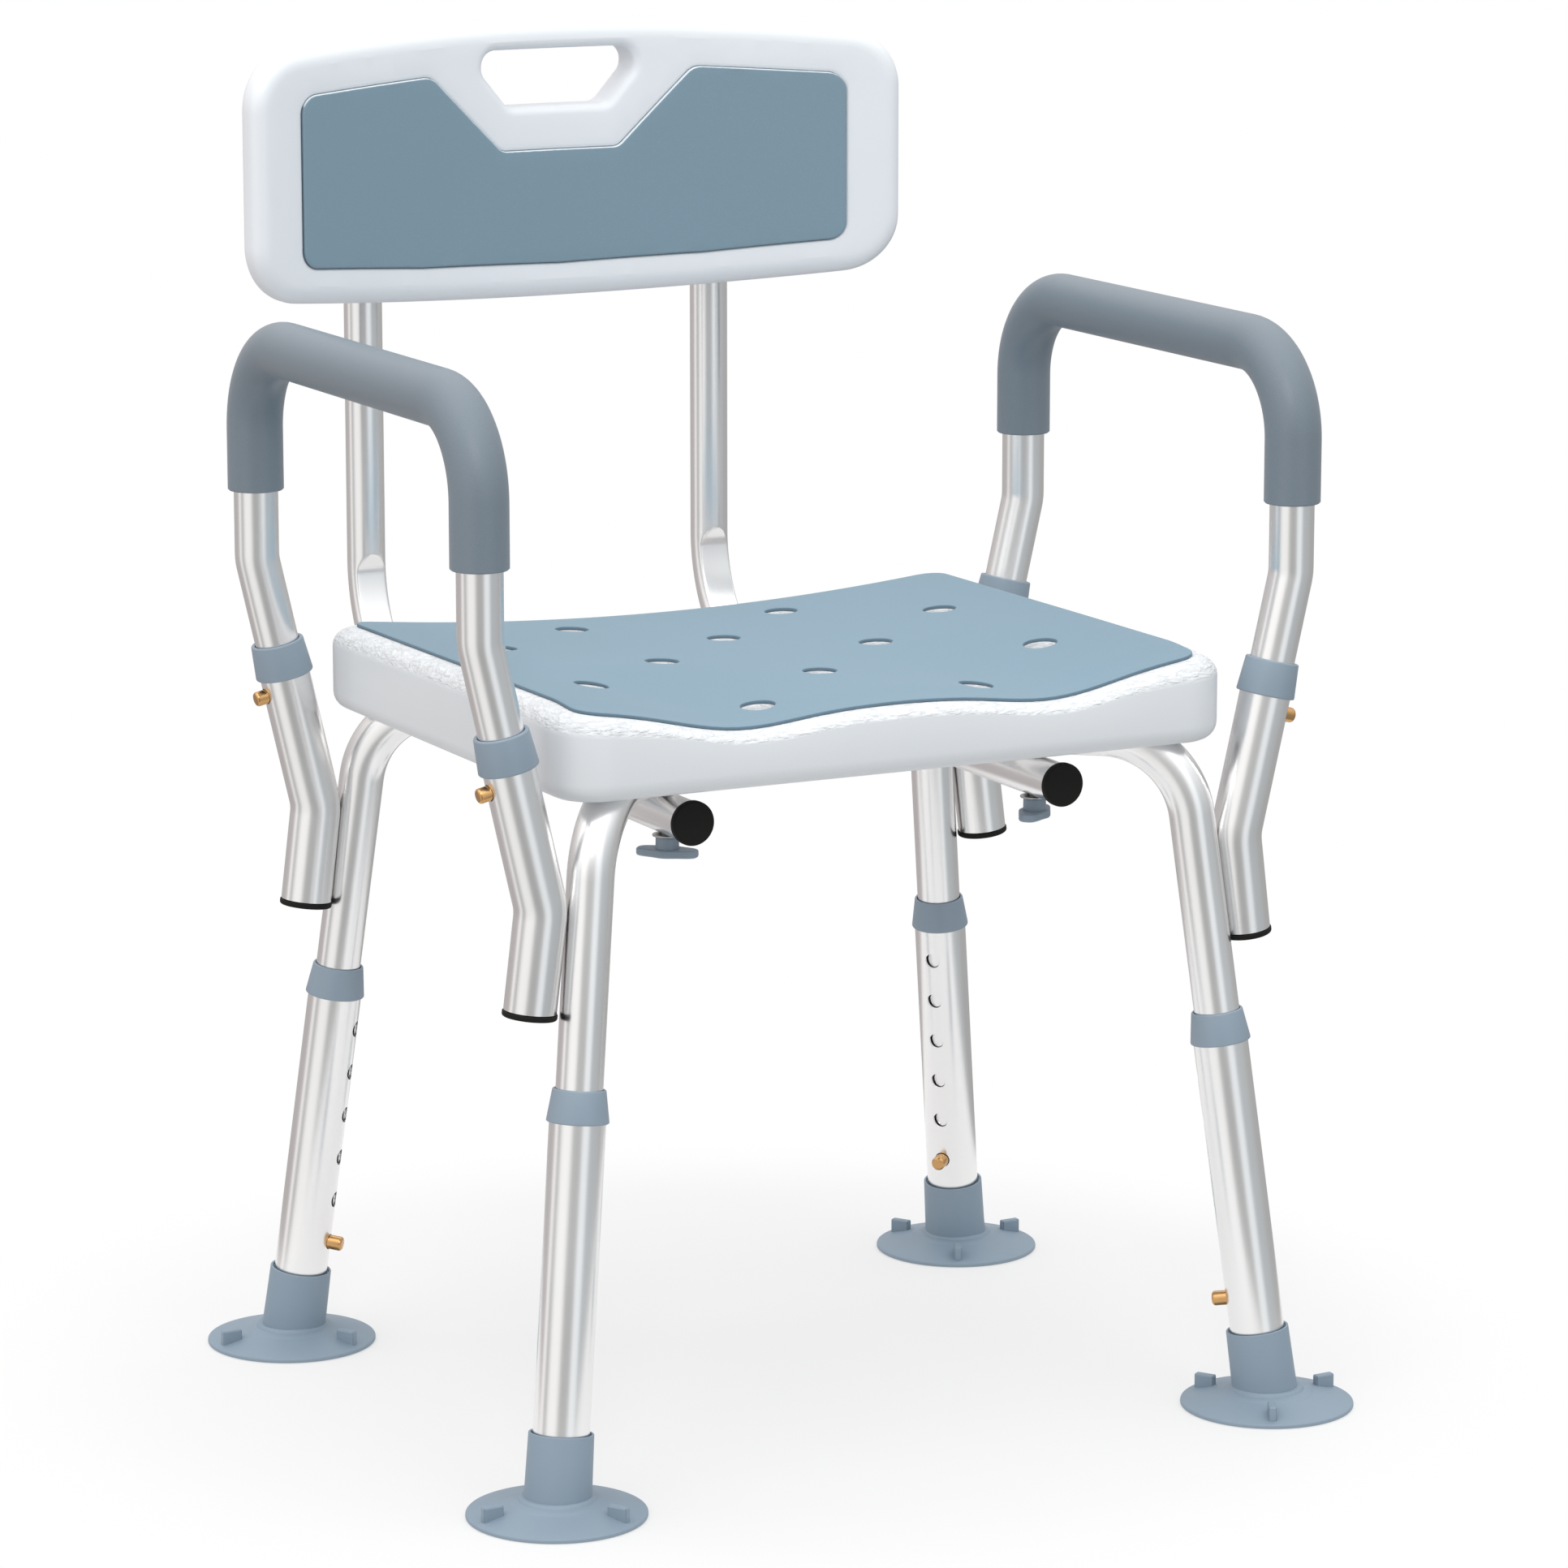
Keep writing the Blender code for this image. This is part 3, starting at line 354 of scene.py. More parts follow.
def carve(bm, tools, operation="DIFFERENCE"):
    """The mesh with each tool mesh cut away or joined on, by exact Booleans."""
    mesh = bpy.data.meshes.new("work")
    bmesh.ops.recalc_face_normals(bm, faces=bm.faces[:])
    bm.to_mesh(mesh)
    bm.free()
    work = bpy.data.objects.new("work", mesh)
    bpy.context.scene.collection.objects.link(work)
    cutters = []
    for tool in tools:
        bmesh.ops.recalc_face_normals(tool, faces=tool.faces[:])
        tool_mesh = bpy.data.meshes.new("tool")
        tool.to_mesh(tool_mesh)
        tool.free()
        cutter = bpy.data.objects.new("tool", tool_mesh)
        bpy.context.scene.collection.objects.link(cutter)
        cutters.append(cutter)
        mod = work.modifiers.new("cut", "BOOLEAN")
        mod.object = cutter
        mod.operation = operation
        mod.solver = "EXACT"
    bpy.context.view_layer.update()
    graph = bpy.context.evaluated_depsgraph_get()
    out = bmesh.new()
    out.from_mesh(work.evaluated_get(graph).to_mesh())
    for obj in [work] + cutters:
        data = obj.data
        bpy.data.objects.remove(obj, do_unlink=True)
        bpy.data.meshes.remove(data)
    return out


def rounded_path(points, radii, step=4.0):
    """A polyline through points with its inner corners rounded; step is degrees per facet."""
    points = [Vector(p) for p in points]
    out = [points[0]]
    for a, b, c, r in zip(points, points[1:], points[2:], radii):
        back, ahead = (a - b).normalized(), (c - b).normalized()
        between = back.angle(ahead)
        centre = b + (back + ahead).normalized() * r / sin(between / 2)
        arm = b + back * r * cos(between / 2) / sin(between / 2) - centre
        axis = back.cross(ahead).normalized()
        turn = pi - between
        count = max(2, round(turn / radians(step)))
        out += [centre + Quaternion(axis, -turn * i / count).to_matrix() @ arm
                for i in range(count + 1)]
    out.append(points[-1])
    return out


def rings_along(path, half_sizes, sides, normal):
    """Rings of points around a path; half_sizes gives each station's two half widths."""
    side = Vector(normal).normalized()
    rings = []
    for i, here in enumerate(path):
        before = (here - path[i - 1]).normalized() if i else None
        after = (path[i + 1] - here).normalized() if i < len(path) - 1 else None
        tangent = ((before or after) + (after or before)).normalized()
        side = (side - tangent * side.dot(tangent)).normalized()
        up = tangent.cross(side)
        a, b = half_sizes[i]
        rings.append([here + side * a * cos(t) + up * b * sin(t)
                      for t in (2 * pi * (k + 0.5) / sides for k in range(sides))])
    return rings


def join_rings(bm, rings, close=False):
    """Skin rings of points in turn; close joins the last to the first. Gives their vertices."""
    made = [[bm.verts.new(p) for p in ring] for ring in rings]
    pairs = list(zip(made, made[1:]))
    if close:
        pairs.append((made[-1], made[0]))
    n = len(made[0])
    for low, high in pairs:
        for k in range(n):
            bm.faces.new((low[k], low[(k + 1) % n], high[(k + 1) % n], high[k]))
    return made


def pipe(path, r, wall, normal, sizes=None, lip=0.35, shape=None, sides=ROUND):
    """An open tube with softened ends; shape may move the points of each ring."""
    path = [Vector(p) for p in path]
    first, last = (path[1] - path[0]).normalized(), (path[-2] - path[-1]).normalized()
    sizes = sizes or [(r, r)] * len(path)
    path = [path[0], path[0] + first * lip] + path[1:-1] + [path[-1] + last * lip, path[-1]]
    sizes = [sizes[0], sizes[0]] + sizes[1:-1] + [sizes[-1], sizes[-1]]
    outer = [(a - lip * (i in (0, len(path) - 1)), b - lip * (i in (0, len(path) - 1)))
             for i, (a, b) in enumerate(sizes)]
    inner = [(a - wall, b - wall) for a, b in sizes]

    def skin(half_sizes, depth):
        rings = rings_along(path, half_sizes, sides, normal)
        return [shape(i, ring, depth) for i, ring in enumerate(rings)] if shape else rings

    bm = bmesh.new()
    join_rings(bm, skin(outer, 0.0) + skin(inner, wall)[::-1], close=True)
    return bm


def turned(profile, base, axis, sides=64, normal=(0, 1, 0)):
    """A turned solid: profile is (radius, distance along the axis) pairs; a radius of 0 is a pole."""
    axis = Vector(axis).normalized()
    side = Vector(normal)
    side = (side - axis * side.dot(axis)).normalized()
    up = axis.cross(side)
    bm = bmesh.new()
    made = []
    for r, h in profile:
        centre = Vector(base) + axis * h
        if r == 0:
            made.append([bm.verts.new(centre)])
            continue
        made.append([bm.verts.new(centre + side * r * cos(t) + up * r * sin(t))
                     for t in (2 * pi * (k + 0.5) / sides for k in range(sides))])
    for low, high in zip(made, made[1:] + made[:1]):
        for k in range(sides):
            n = (k + 1) % sides
            ring = [low[k % len(low)], low[n % len(low)], high[n % len(high)], high[k % len(high)]]
            unique = list(dict.fromkeys(ring))
            if len(unique) > 2:
                bm.faces.new(unique)
    return bm


def rounded_outline(corners, radii, step=6.0):
    """A closed outline with its corners rounded; step is degrees per facet."""
    out = []
    count = len(corners)
    for i, (corner, r) in enumerate(zip(corners, radii)):
        if not r:
            out.append(corner)
            continue
        ends = [Vector((*p, 0.0)) for p in (corners[i - 1], corner, corners[(i + 1) % count])]
        out += [(p.x, p.y) for p in rounded_path(ends, (r,), step)[1:-1]]
    return out


def soften(profile, radii, step=22.0):
    """A turned profile with its corners rounded by the radii given."""
    return rounded_outline(profile, radii, step)


def rod(start, end, r, sides=32):
    """A plain solid cylinder between two points."""
    axis = Vector(end) - Vector(start)
    return turned(((0, 0), (r, 0), (r, axis.length), (0, axis.length)), start, axis, sides,
                  (0.3, 0.5, 0.7))


def inset(outline, distance):
    """Move each point of a closed anticlockwise outline inwards."""
    out = []
    n = len(outline)
    for i in range(n):
        (ax, ay), (bx, by), (cx, cy) = outline[i - 1], outline[i], outline[(i + 1) % n]
        one = Vector((by - ay, ax - bx)).normalized()
        two = Vector((cy - by, bx - cx)).normalized()
        mid = (one + two).normalized()
        reach = distance / max(0.3, mid.dot(one))
        out.append((bx - mid.x * reach, by - mid.y * reach))
    return out


def spaced(outline, spacing):
    """The same closed outline with its long edges divided."""
    out = []
    for (ax, ay), (bx, by) in zip(outline, outline[1:] + outline[:1]):
        pieces = max(1, round(hypot(bx - ax, by - ay) / spacing))
        out += [(ax + (bx - ax) * k / pieces, ay + (by - ay) * k / pieces) for k in range(pieces)]
    return out


def circle(x, y, r, count=40):
    """Points round a circle, anticlockwise."""
    return [(x + r * cos(2 * pi * k / count), y + r * sin(2 * pi * k / count))
            for k in range(count)]


def inside(x, y, outline):
    """Whether a point is inside a closed outline."""
    odd = False
    for (ax, ay), (bx, by) in zip(outline, outline[1:] + outline[:1]):
        if (ay > y) != (by > y) and x < (bx - ax) * (y - ay) / (by - ay) + ax:
            odd = not odd
    return odd


def sheet_mesh(bm, outline, openings, spacing, lift):
    """A triangulated sheet with openings; gives the vertices of each edge loop, outline first."""
    xs, ys = [p[0] for p in outline], [p[1] for p in outline]
    loops = [outline] + openings
    flat = [p for loop in loops for p in loop]
    edges = []
    start = 0
    for loop in loops:
        edges += [(start + k, start + (k + 1) % len(loop)) for k in range(len(loop))]
        start += len(loop)
    room = inset(outline, spacing * 0.55)
    keep_off = [inset(hole, -spacing * 0.5) for hole in openings]
    y = min(ys) + spacing / 2
    row = 0
    while y < max(ys):
        x = min(xs) + spacing * (0.5 if row % 2 else 0.0)
        while x < max(xs):
            if inside(x, y, room) and not any(inside(x, y, hole) for hole in keep_off):
                flat.append((x, y))
            x += spacing
        y += spacing * 0.87
        row += 1
    points, _, faces, origin, _, _ = delaunay_2d_cdt([Vector(p) for p in flat], edges, [], 0, 1e-4)
    verts = [bm.verts.new(lift(p.x, p.y)) for p in points]
    for face in faces:
        mx = sum(points[i].x for i in face) / 3
        my = sum(points[i].y for i in face) / 3
        if inside(mx, my, outline) and not any(inside(mx, my, hole) for hole in openings):
            bm.faces.new([verts[i] for i in face])
    found = {first: k for k, sources in enumerate(origin) for first in sources}
    out = []
    start = 0
    for loop in loops:
        out.append([verts[found[start + k]] for k in range(len(loop))])
        start += len(loop)
    for v in [v for v in bm.verts if not v.link_faces]:
        if all(v not in loop for loop in out):
            bm.verts.remove(v)
    return out


def extend(bm, loop, points):
    """Skin from a loop of vertices to a new ring of points; gives the new vertices."""
    ring = [bm.verts.new(p) for p in points]
    n = len(loop)
    for k in range(n):
        bm.faces.new((loop[k], loop[(k + 1) % n], ring[(k + 1) % n], ring[k]))
    return ring


# ---- seat ------------------------------------------------------------------------------

def smooth_ramp(t):
    """From 0 to 1 as t goes from 0 to 1, level at both ends."""
    t = min(1.0, max(0.0, t))
    return t * t * (3 - 2 * t)


def pad_height(x, y):
    """Top of the seat pad: dished across, with a dip for each thigh and a rolled front."""
    thigh = THIGH_DIP * exp(-(((abs(x) - THIGH_X) / THIGH_WIDTH) ** 2)) * smooth_ramp(-y / 130.0)
    dish = SEAT_DISH * (x / 180.0) ** 2
    roll = FRONT_ROLL * smooth_ramp((-y - 115.0) / 32.0)
    return PAD_MIDDLE_Z - PAD_TILT * y + dish - thigh - roll


def shell_height(x, y):
    """Top of the shell, a gap below the pad."""
    return pad_height(x, y) - PAD_THICK - PAD_GAP


def seat_outline():
    """The seat from above, a rounded rectangle."""
    w, f, r = SEAT_HALF_WIDTH, SEAT_FRONT, SEAT_REAR
    corners = [(-w, f), (w, f), (w, r), (-w, r)]
    return spaced(rounded_outline(corners, (SEAT_CORNER,) * 4, 5), 7.0)


def band_height(x):
    """Height of the rounded band round the top, taller towards the sides."""
    return 5.5 + 4.8 * smooth_ramp((abs(x) - 120.0) / 60.0)


def drain_holes(r):
    """The outlines of the drain holes."""
    return [circle(x, y, r) for y, xs in HOLE_ROWS for x in xs]


def seat_shell():
    """The moulded seat: dished top, rounded band, drain holes and a grooved underside."""
    outline = seat_outline()
    edge = inset(outline, PAD_INSET)
    bm = bmesh.new()
    holes = drain_holes(SHELL_HOLE_R + SHELL_HOLE_LIP)
    loops = sheet_mesh(bm, edge, holes, 8.0, lambda x, y: (x, y, shell_height(x, y)))
    ring = loops[0]
    for a in range(78, -1, -13):
        turn = radians(a)
        around = inset(outline, PAD_INSET * (1 - cos(turn)))
        ring = extend(bm, ring, [
            (x, y, shell_height(ex, ey) - band_height(ex) * (1 - sin(turn)))
            for (x, y), (ex, ey) in zip(around, edge)])
    for a in range(0, 91, 15):
        turn = radians(a)
        around = inset(outline, SEAT_EDGE_ROUND * (1 - cos(turn)))
        ring = extend(bm, ring, [(x, y, SEAT_BOTTOM + SEAT_EDGE_ROUND * (1 - sin(turn)))
                                 for x, y in around])
    base = inset(outline, SEAT_EDGE_ROUND)
    for v in ring:
        v.co.z = SEAT_BOTTOM
    floor_loops = sheet_mesh(bm, base, holes, 20.0, lambda x, y: (x, y, SEAT_BOTTOM))
    bridge(bm, ring, floor_loops[0])
    for top, low in zip(loops[1:], floor_loops[1:]):
        cx = sum(v.co.x for v in top) / len(top)
        cy = sum(v.co.y for v in top) / len(top)
        neck = extend(bm, top, [shrink(v.co, cx, cy, 0.35, -0.25) for v in top])
        neck = extend(bm, neck, [shrink(v.co, cx, cy, 0.45, -0.7) for v in neck])
        neck = extend(bm, neck, [Vector((v.co.x, v.co.y, SEAT_BOTTOM + 1.0)) for v in neck])
        bridge(bm, neck, low)
    bmesh.ops.remove_doubles(bm, verts=bm.verts[:], dist=1e-3)
    tools = [groove(sign) for sign in (1, -1)]
    tools.append(rod((0, 0, POCKET_LOW), (0, 0, FRAME_Z + POCKET_RISE), POCKET_R, 64))
    bm = carve(bm, tools)
    put(bm, "seat_shell_moulding", WHITE_GRAIN, "root", "shell", "seat_shell", sharp=40)


def groove(sign):
    """The cutter for the groove in which a leg frame lies."""
    path, _ = frame_path(sign, 0.0, straight=True)
    path = [p for p in path if p.z > GROOVE_LOW]
    tool = bmesh.new()
    sizes = [(FRAME_R + GROOVE_GAP,) * 2] * len(path)
    made = join_rings(tool, rings_along(path, sizes, 32, frame_normal(sign)))
    tool.faces.new(made[0])
    tool.faces.new(made[-1])
    return tool


def shrink(co, cx, cy, inward, drop):
    """A point moved towards an upright axis and down."""
    arm = Vector((co.x - cx, co.y - cy))
    arm = arm * (1 - inward / arm.length)
    return Vector((cx + arm.x, cy + arm.y, co.z + drop))


def bridge(bm, one, two):
    """Join two loops of equal count that face each other."""
    n = len(one)
    for k in range(n):
        bm.faces.new((one[k], one[(k + 1) % n], two[(k + 1) % n], two[k]))


def seat_pad():
    """The foam pad: a thin sheet over the dished seat, with cut edges and drain holes."""
    outline = inset(seat_outline(), PAD_INSET + 0.5)
    bm = bmesh.new()
    loops = sheet_mesh(bm, inset(outline, 1.2), drain_holes(HOLE_R + HOLE_LIP), 5.0,
                       lambda x, y: (x, y, pad_height(x, y)))
    for k, loop in enumerate(loops):
        if k:
            cx = sum(v.co.x for v in loop) / len(loop)
            cy = sum(v.co.y for v in loop) / len(loop)
            ring = extend(bm, loop, [shrink(v.co, cx, cy, 0.5, -0.1) for v in loop])
            ring = extend(bm, ring, [shrink(v.co, cx, cy, 0.4, -0.4) for v in ring])
        else:
            ring = loop
            for step, drop in ((0.5, 0.15), (0.1, 0.5), (0.0, 0.9)):
                ring = extend(bm, ring, [(x, y, pad_height(x, y) - drop)
                                         for x, y in inset(outline, step)])
        extend(bm, ring, [
            Vector((v.co.x, v.co.y, pad_height(v.co.x, v.co.y) - PAD_THICK)) for v in ring])
    pad = put(bm, "seat_pad_foam", SEAT_FOAM, "root", "seat_pad", "seat_pad", sharp=50)


# ---- leg frames and legs ---------------------------------------------------------------

def plane_direction(sign):
    """Level direction in the upright plane of a leg frame."""
    return Vector((1, sign * LEG_SLOPE, 0)).normalized()


def frame_normal(sign):
    """Direction square to the plane of a leg frame."""
    return plane_direction(sign).cross(Vector((0, 0, 1)))


def leg_point(sign, end, z):
    """A point on a leg's axis at a height; end is -1 or 1 for the frame's two legs."""
    return plane_direction(sign) * end * (FOOT_RHO - LEG_LEAN * z) + Vector((0, 0, z))


def frame_path(sign, shift, straight=False):
    """Axis of a leg frame, with its half widths, pressed flat where the frames cross."""
    along = plane_direction(sign)
    ends = [leg_point(sign, e, FRAME_END_Z) for e in (-1, 1)]
    tops = [leg_point(sign, e, FRAME_Z) for e in (-1, 1)]
    path = rounded_path((ends[0], tops[0], tops[1], ends[1]), (FRAME_BEND,) * 2, 4)
    half = len(path) // 2
    stations = range(-CROSS_REACH, CROSS_REACH + 1, 4)
    middle = [along * r + Vector((0, 0, FRAME_Z)) for r in stations]
    path = path[:half] + middle + path[half:]
    sizes = []
    for p in path:
        flat = 0.0 if straight else 1.0 - smooth_ramp((hypot(p.x, p.y) - CROSS_FLAT) / CROSS_FADE)
        p.z += shift * flat
        sizes.append((FRAME_R + (CROSS_HALF_WIDTH - FRAME_R) * flat,
                      FRAME_R + (CROSS_HALF_HEIGHT - FRAME_R) * flat))
    return path, sizes


def leg_axes(sign, end):
    """A leg's foot centre, its inward direction square to the leg, and its downward axis."""
    out = plane_direction(sign) * end
    down = (out * LEG_LEAN - Vector((0, 0, 1))).normalized()
    inward = -(out - down * out.dot(down)).normalized()
    return out * FOOT_RHO, inward, down


def leg_frame(name, sign, shift):
    """A bent inner tube that makes two legs, with a hole for each leg's button."""
    path, sizes = frame_path(sign, shift)
    holes = []
    for end in (-1, 1):
        _, inward, _ = leg_axes(sign, end)
        at = leg_point(sign, end, BUTTON_Z)
        holes.append(rod(at, at + inward * HOLE_DEPTH, BUTTON_HOLE_R))
    bm = pipe(path, FRAME_R, FRAME_WALL, frame_normal(sign), sizes)
    put(carve(bm, holes), name + "_tube", TUBE, "root", "tubes", name)


LEGS = (("fl", 1, -1), ("fr", -1, 1), ("rl", -1, -1), ("rr", 1, 1))


def leg(tag, sign, end):
    """An outer leg tube with its adjusting holes, collar, foot and button."""
    centre, inward, down = leg_axes(sign, end)
    body = "leg_" + tag
    first = leg_point(sign, end, BUTTON_Z)
    path = [leg_point(sign, end, z) for z in (LEG_TUBE_BOTTOM, 60.0, 130.0, LEG_TUBE_TOP)]
    holes = []
    for k in range(LEG_HOLES):
        at = first - down * HOLE_PITCH * k
        holes.append(rod(at + inward * 8, at + inward * HOLE_DEPTH, BUTTON_HOLE_R))
    bm = pipe(path, LEG_TUBE_R, LEG_TUBE_WALL, frame_normal(sign))
    put(carve(bm, holes), "outer_leg_" + tag, TUBE, body, "tubes", "leg_tube_" + tag)

    low, high = LEG_COLLAR
    base = leg_point(sign, end, low)
    height = (leg_point(sign, end, high) - base).length
    seat = (leg_point(sign, end, LEG_TUBE_TOP) - base).length + 0.4
    collar("collar_" + tag, "leg_collar_" + tag, body, base, -down, height, seat,
           LEG_COLLAR_RADII, LEG_TUBE_R, FRAME_R)
    foot(tag, sign, end, centre)
    button("button_leg_" + tag, first, inward, LEG_BUTTON_REACH, "leg_button_" + tag)


def collar(name, node, body, base, axis, height, seat, radii, outer_r, inner_r):
    """A tapered collar on the end of an outer tube, its top rolled in to the inner tube.

    seat is the height where the outer tube ends, and radii are the collar's foot and top."""
    foot_r, top_r = radii
    bore, lip = outer_r + TUBE_GAP, inner_r + LIP_GAP
    profile = soften(((foot_r, 0), (top_r, height), (lip, height), (lip, seat), (bore, seat),
                      (bore, 0)), (0.8, 0.9, 0.4, 0, 0, 0.4))
    put(turned(profile, base, axis), name, FITTING, body, "fittings", node)


def end_cap(name, node, at, axis, r, plug_r, thick, depth, rounding, normal=(0, 1, 0)):
    """A black cap on the end of a tube, with a plug inside it; axis points out of the tube."""
    profile = soften(((0, thick), (r, thick), (r, 0.2), (plug_r, 0.2), (plug_r, -depth),
                      (0, -depth)), (0, rounding, 0.3, 0, 0, 0))
    put(turned(profile, at, axis, 64, normal), name, BLACK, "root", "caps", node)


def foot(tag, sign, end, centre):
    """A wide cupped foot: thin flared rim, filleted leaning sleeve and three ribs."""
    profile = [(0, 5.0), (24, 4.5), (44.5, 0)]
    profile += soften(((47.9, 0), (47.9, 2.4), (38.0, 4.6), (25.0, 7.6), (21.5, 11.2)),
                      (0.5, 0.9, 0, 5.0, 0))[:-1]
    profile += [(20.4, 9.4), (19.6, 10.6), (18.8, 11.2), (0, 11.4)]
    cup = turned(profile, centre, (0, 0, 1), 96)
    base, top = leg_point(sign, end, 4.0), leg_point(sign, end, SLEEVE_TOP)
    axis, length = (top - base).normalized(), (top - base).length
    sleeve = soften(((0, 0), (18.2, 0), (17.8, 12), (17.3, length), (16.0, length),
                     (16.0, length - 1.6), (0, length - 1.6)), (0, 0, 0, 0.4, 0.4, 0, 0))
    tools = [turned(sleeve, base, axis)]
    for turn in (0, 120, 240):
        angle = radians(RIB_FACING[end] + turn)
        way = Vector((cos(angle), sin(angle), 0))
        tools.append(rib(centre + way * RIB_REACH, way))
    bm = carve(cup, tools, "UNION")
    bore = leg_point(sign, end, LEG_TUBE_BOTTOM - 0.4)
    bm = carve(bm, [rod(bore, leg_point(sign, end, 60), LEG_TUBE_R + TUBE_GAP, ROUND)])
    put(bm, "cupped_foot_" + tag, FOOT_RUBBER, "leg_" + tag, "feet", "foot_" + tag, sharp=30)


def rib(at, way):
    """A small upright rib with softened edges, standing on the foot's rim."""
    bm = bmesh.new()
    across = way.cross(Vector((0, 0, 1)))
    made = []
    for inset_by, z in ((0.0, 2.0), (0.0, 10.6), (0.5, 11.4)):
        long, wide = 5.8 - inset_by, 2.2 - inset_by
        made.append([bm.verts.new(at + way * a * long + across * b * wide + Vector((0, 0, z)))
                     for a, b in ((-1, -1), (1, -1), (1, 1), (-1, 1))])
    for low, high in zip(made, made[1:]):
        for k in range(4):
            bm.faces.new((low[k], low[(k + 1) % 4], high[(k + 1) % 4], high[k]))
    bm.faces.new(made[0])
    bm.faces.new(made[-1])
    bmesh.ops.bevel(bm, geom=[e for e in bm.edges if abs((e.verts[0].co - e.verts[1].co).z) > 5],
                    offset=0.6, segments=3, affect="EDGES")
    return bm


def button(name, at, outward, reach, node):
    """A turned button with a rounded tip; reach is its back and its tip from the tube's axis."""
    back, tip = reach
    profile = soften(((0, back), (BUTTON_R, back), (BUTTON_R, tip), (0, tip)),
                     (0, 0.3, 1.7, 0), 15)
    put(turned(profile, at, outward, 40, (0.2, 0.3, 0.9)), name, BRASS, node, "buttons", node)


# ---- arms ------------------------------------------------------------------------------

def arm_point(side, end, z):
    """A point on the leaning lower part of an armrest tube at a height."""
    return Vector((side * (ARM_X - ARM_TILT * (ARM_KINK_Z - z)), end * ARM_Y, z))


def arm_axis(side):
    """Direction in which an armrest slides out of its sockets."""
    return Vector((side * ARM_TILT, 0, 1)).normalized()


def arm(side, name):
    """An armrest tube with its grip and buttons, and the two sockets that hold it."""
    body = "arm_" + name
    lows = [arm_point(side, e, ARM_END_Z) for e in (-1, 1)]
    kinks = [arm_point(side, e, ARM_KINK_Z) for e in (-1, 1)]
    tops = [Vector((side * ARM_X, e * ARM_Y, ARM_Z)) for e in (-1, 1)]
    ends = [Vector((side * ARM_X, e * ARM_Y, GRIP_END_Z)) for e in (-1, 1)]
    path = rounded_path((lows[0], kinks[0], tops[0], tops[1], kinks[1], lows[1]),
                        (ARM_KINK_BEND, ARM_BEND, ARM_BEND, ARM_KINK_BEND), 4)
    outward = Vector((side, 0, -ARM_TILT)).normalized()
    holes = []
    for e, tag in ((-1, "f"), (1, "r")):
        at = arm_point(side, e, ARM_BUTTON_Z)
        holes.append(rod(at, at + outward * HOLE_DEPTH, BUTTON_HOLE_R))
        corner = f"_{tag}{name[0]}"
        socket(side, e, corner, at, outward)
        button("button_arm" + corner, at, outward, ARM_BUTTON_REACH, "arm_button" + corner)
    bm = pipe(path, ARM_R, ARM_WALL, (1, 0, 0))
    put(carve(bm, holes), "armrest_tube_" + name, TUBE, body, "tubes", "arm_tube_" + name)
    path = rounded_path((ends[0], tops[0], tops[1], ends[1]), (ARM_BEND,) * 2, 4)
    bm = pipe(path, GRIP_R, GRIP_R - ARM_R - TUBE_GAP, (1, 0, 0), lip=0.8)
    grip = put(bm, "armrest_grip_" + name, GRIP_FOAM, body, "grip", "arm_grip_" + name)


def socket(side, end, tag, hole, outward):
    """A kinked tube that holds one end of an armrest, with its collar above and cap below."""
    kink = arm_point(side, end, SOCKET_KINK_Z)
    low = kink + Vector((side * SOCKET_FOOT_TILT * (SOCKET_END_Z - SOCKET_KINK_Z), 0,
                         SOCKET_END_Z - SOCKET_KINK_Z))
    middle = arm_point(side, end, ARM_COLLAR_Z)
    axis = arm_axis(side)
    path = rounded_path((low, kink, middle + axis * SOCKET_TOP), (ARM_KINK_BEND,), 3)
    bm = pipe(path, SOCKET_R, SOCKET_WALL, (1, 0, 0))
    bm = carve(bm, [rod(hole + outward * 5, hole + outward * HOLE_DEPTH, BUTTON_HOLE_R)])
    put(bm, "socket_tube" + tag, TUBE, "root", "tubes", "arm_socket" + tag)
    end_cap("socket_plug" + tag, "arm_socket_cap" + tag, low, (low - kink).normalized(),
            SOCKET_R + 0.6, SOCKET_R - SOCKET_WALL - TUBE_GAP, 3.2, 8, 1.2)
    collar("collar_arm" + tag, "arm_collar" + tag, "root", middle - axis * ARM_COLLAR_HALF, axis,
           2 * ARM_COLLAR_HALF, ARM_COLLAR_HALF + SOCKET_TOP + 0.4, ARM_COLLAR_RADII, SOCKET_R, ARM_R)


# ---- backrest --------------------------------------------------------------------------

def panel_front(x):
    """Depth of the backrest's front face, bowed backwards in the middle."""
    return PANEL_Y - x * x / PANEL_BOW


def panel_outline():
    """Seen from the front: x to the right, z up, anticlockwise."""
    w = PANEL_HALF_WIDTH

    def bottom(x):
        return PANEL_BOTTOM + PANEL_BOTTOM_RISE * (x / w) ** 2

    def top(x):
        return PANEL_TOP - PANEL_TOP_DROP * (x / w) ** 2

    xs = range(-168, 169, 12)
    corners = [(-w, bottom(w))] + [(x, bottom(x)) for x in xs] + [(w, bottom(w)), (w, top(w))]
    corners += [(x, top(x)) for x in xs[::-1]] + [(-w, top(w))]
    radii = [PANEL_CORNER if abs(x) == w else 0.0 for x, z in corners]
    return spaced(rounded_outline(corners, radii, 4), 7.0)


def back_pad_outline():
    """The backrest pad from the front, notched in the middle for the handle."""
    right = [(0, 599.3), (90, 601.6), (172.7, 607.6), (172.7, 704.4), (83.8, 710.4),
             (37.4, 665.0)]
    left = [(-x, z) for x, z in right[:0:-1]]
    radii = [0.0, 60, 10, 11, 11, 9]
    return spaced(rounded_outline(right + left, radii + radii[:0:-1], 6), 6.0)


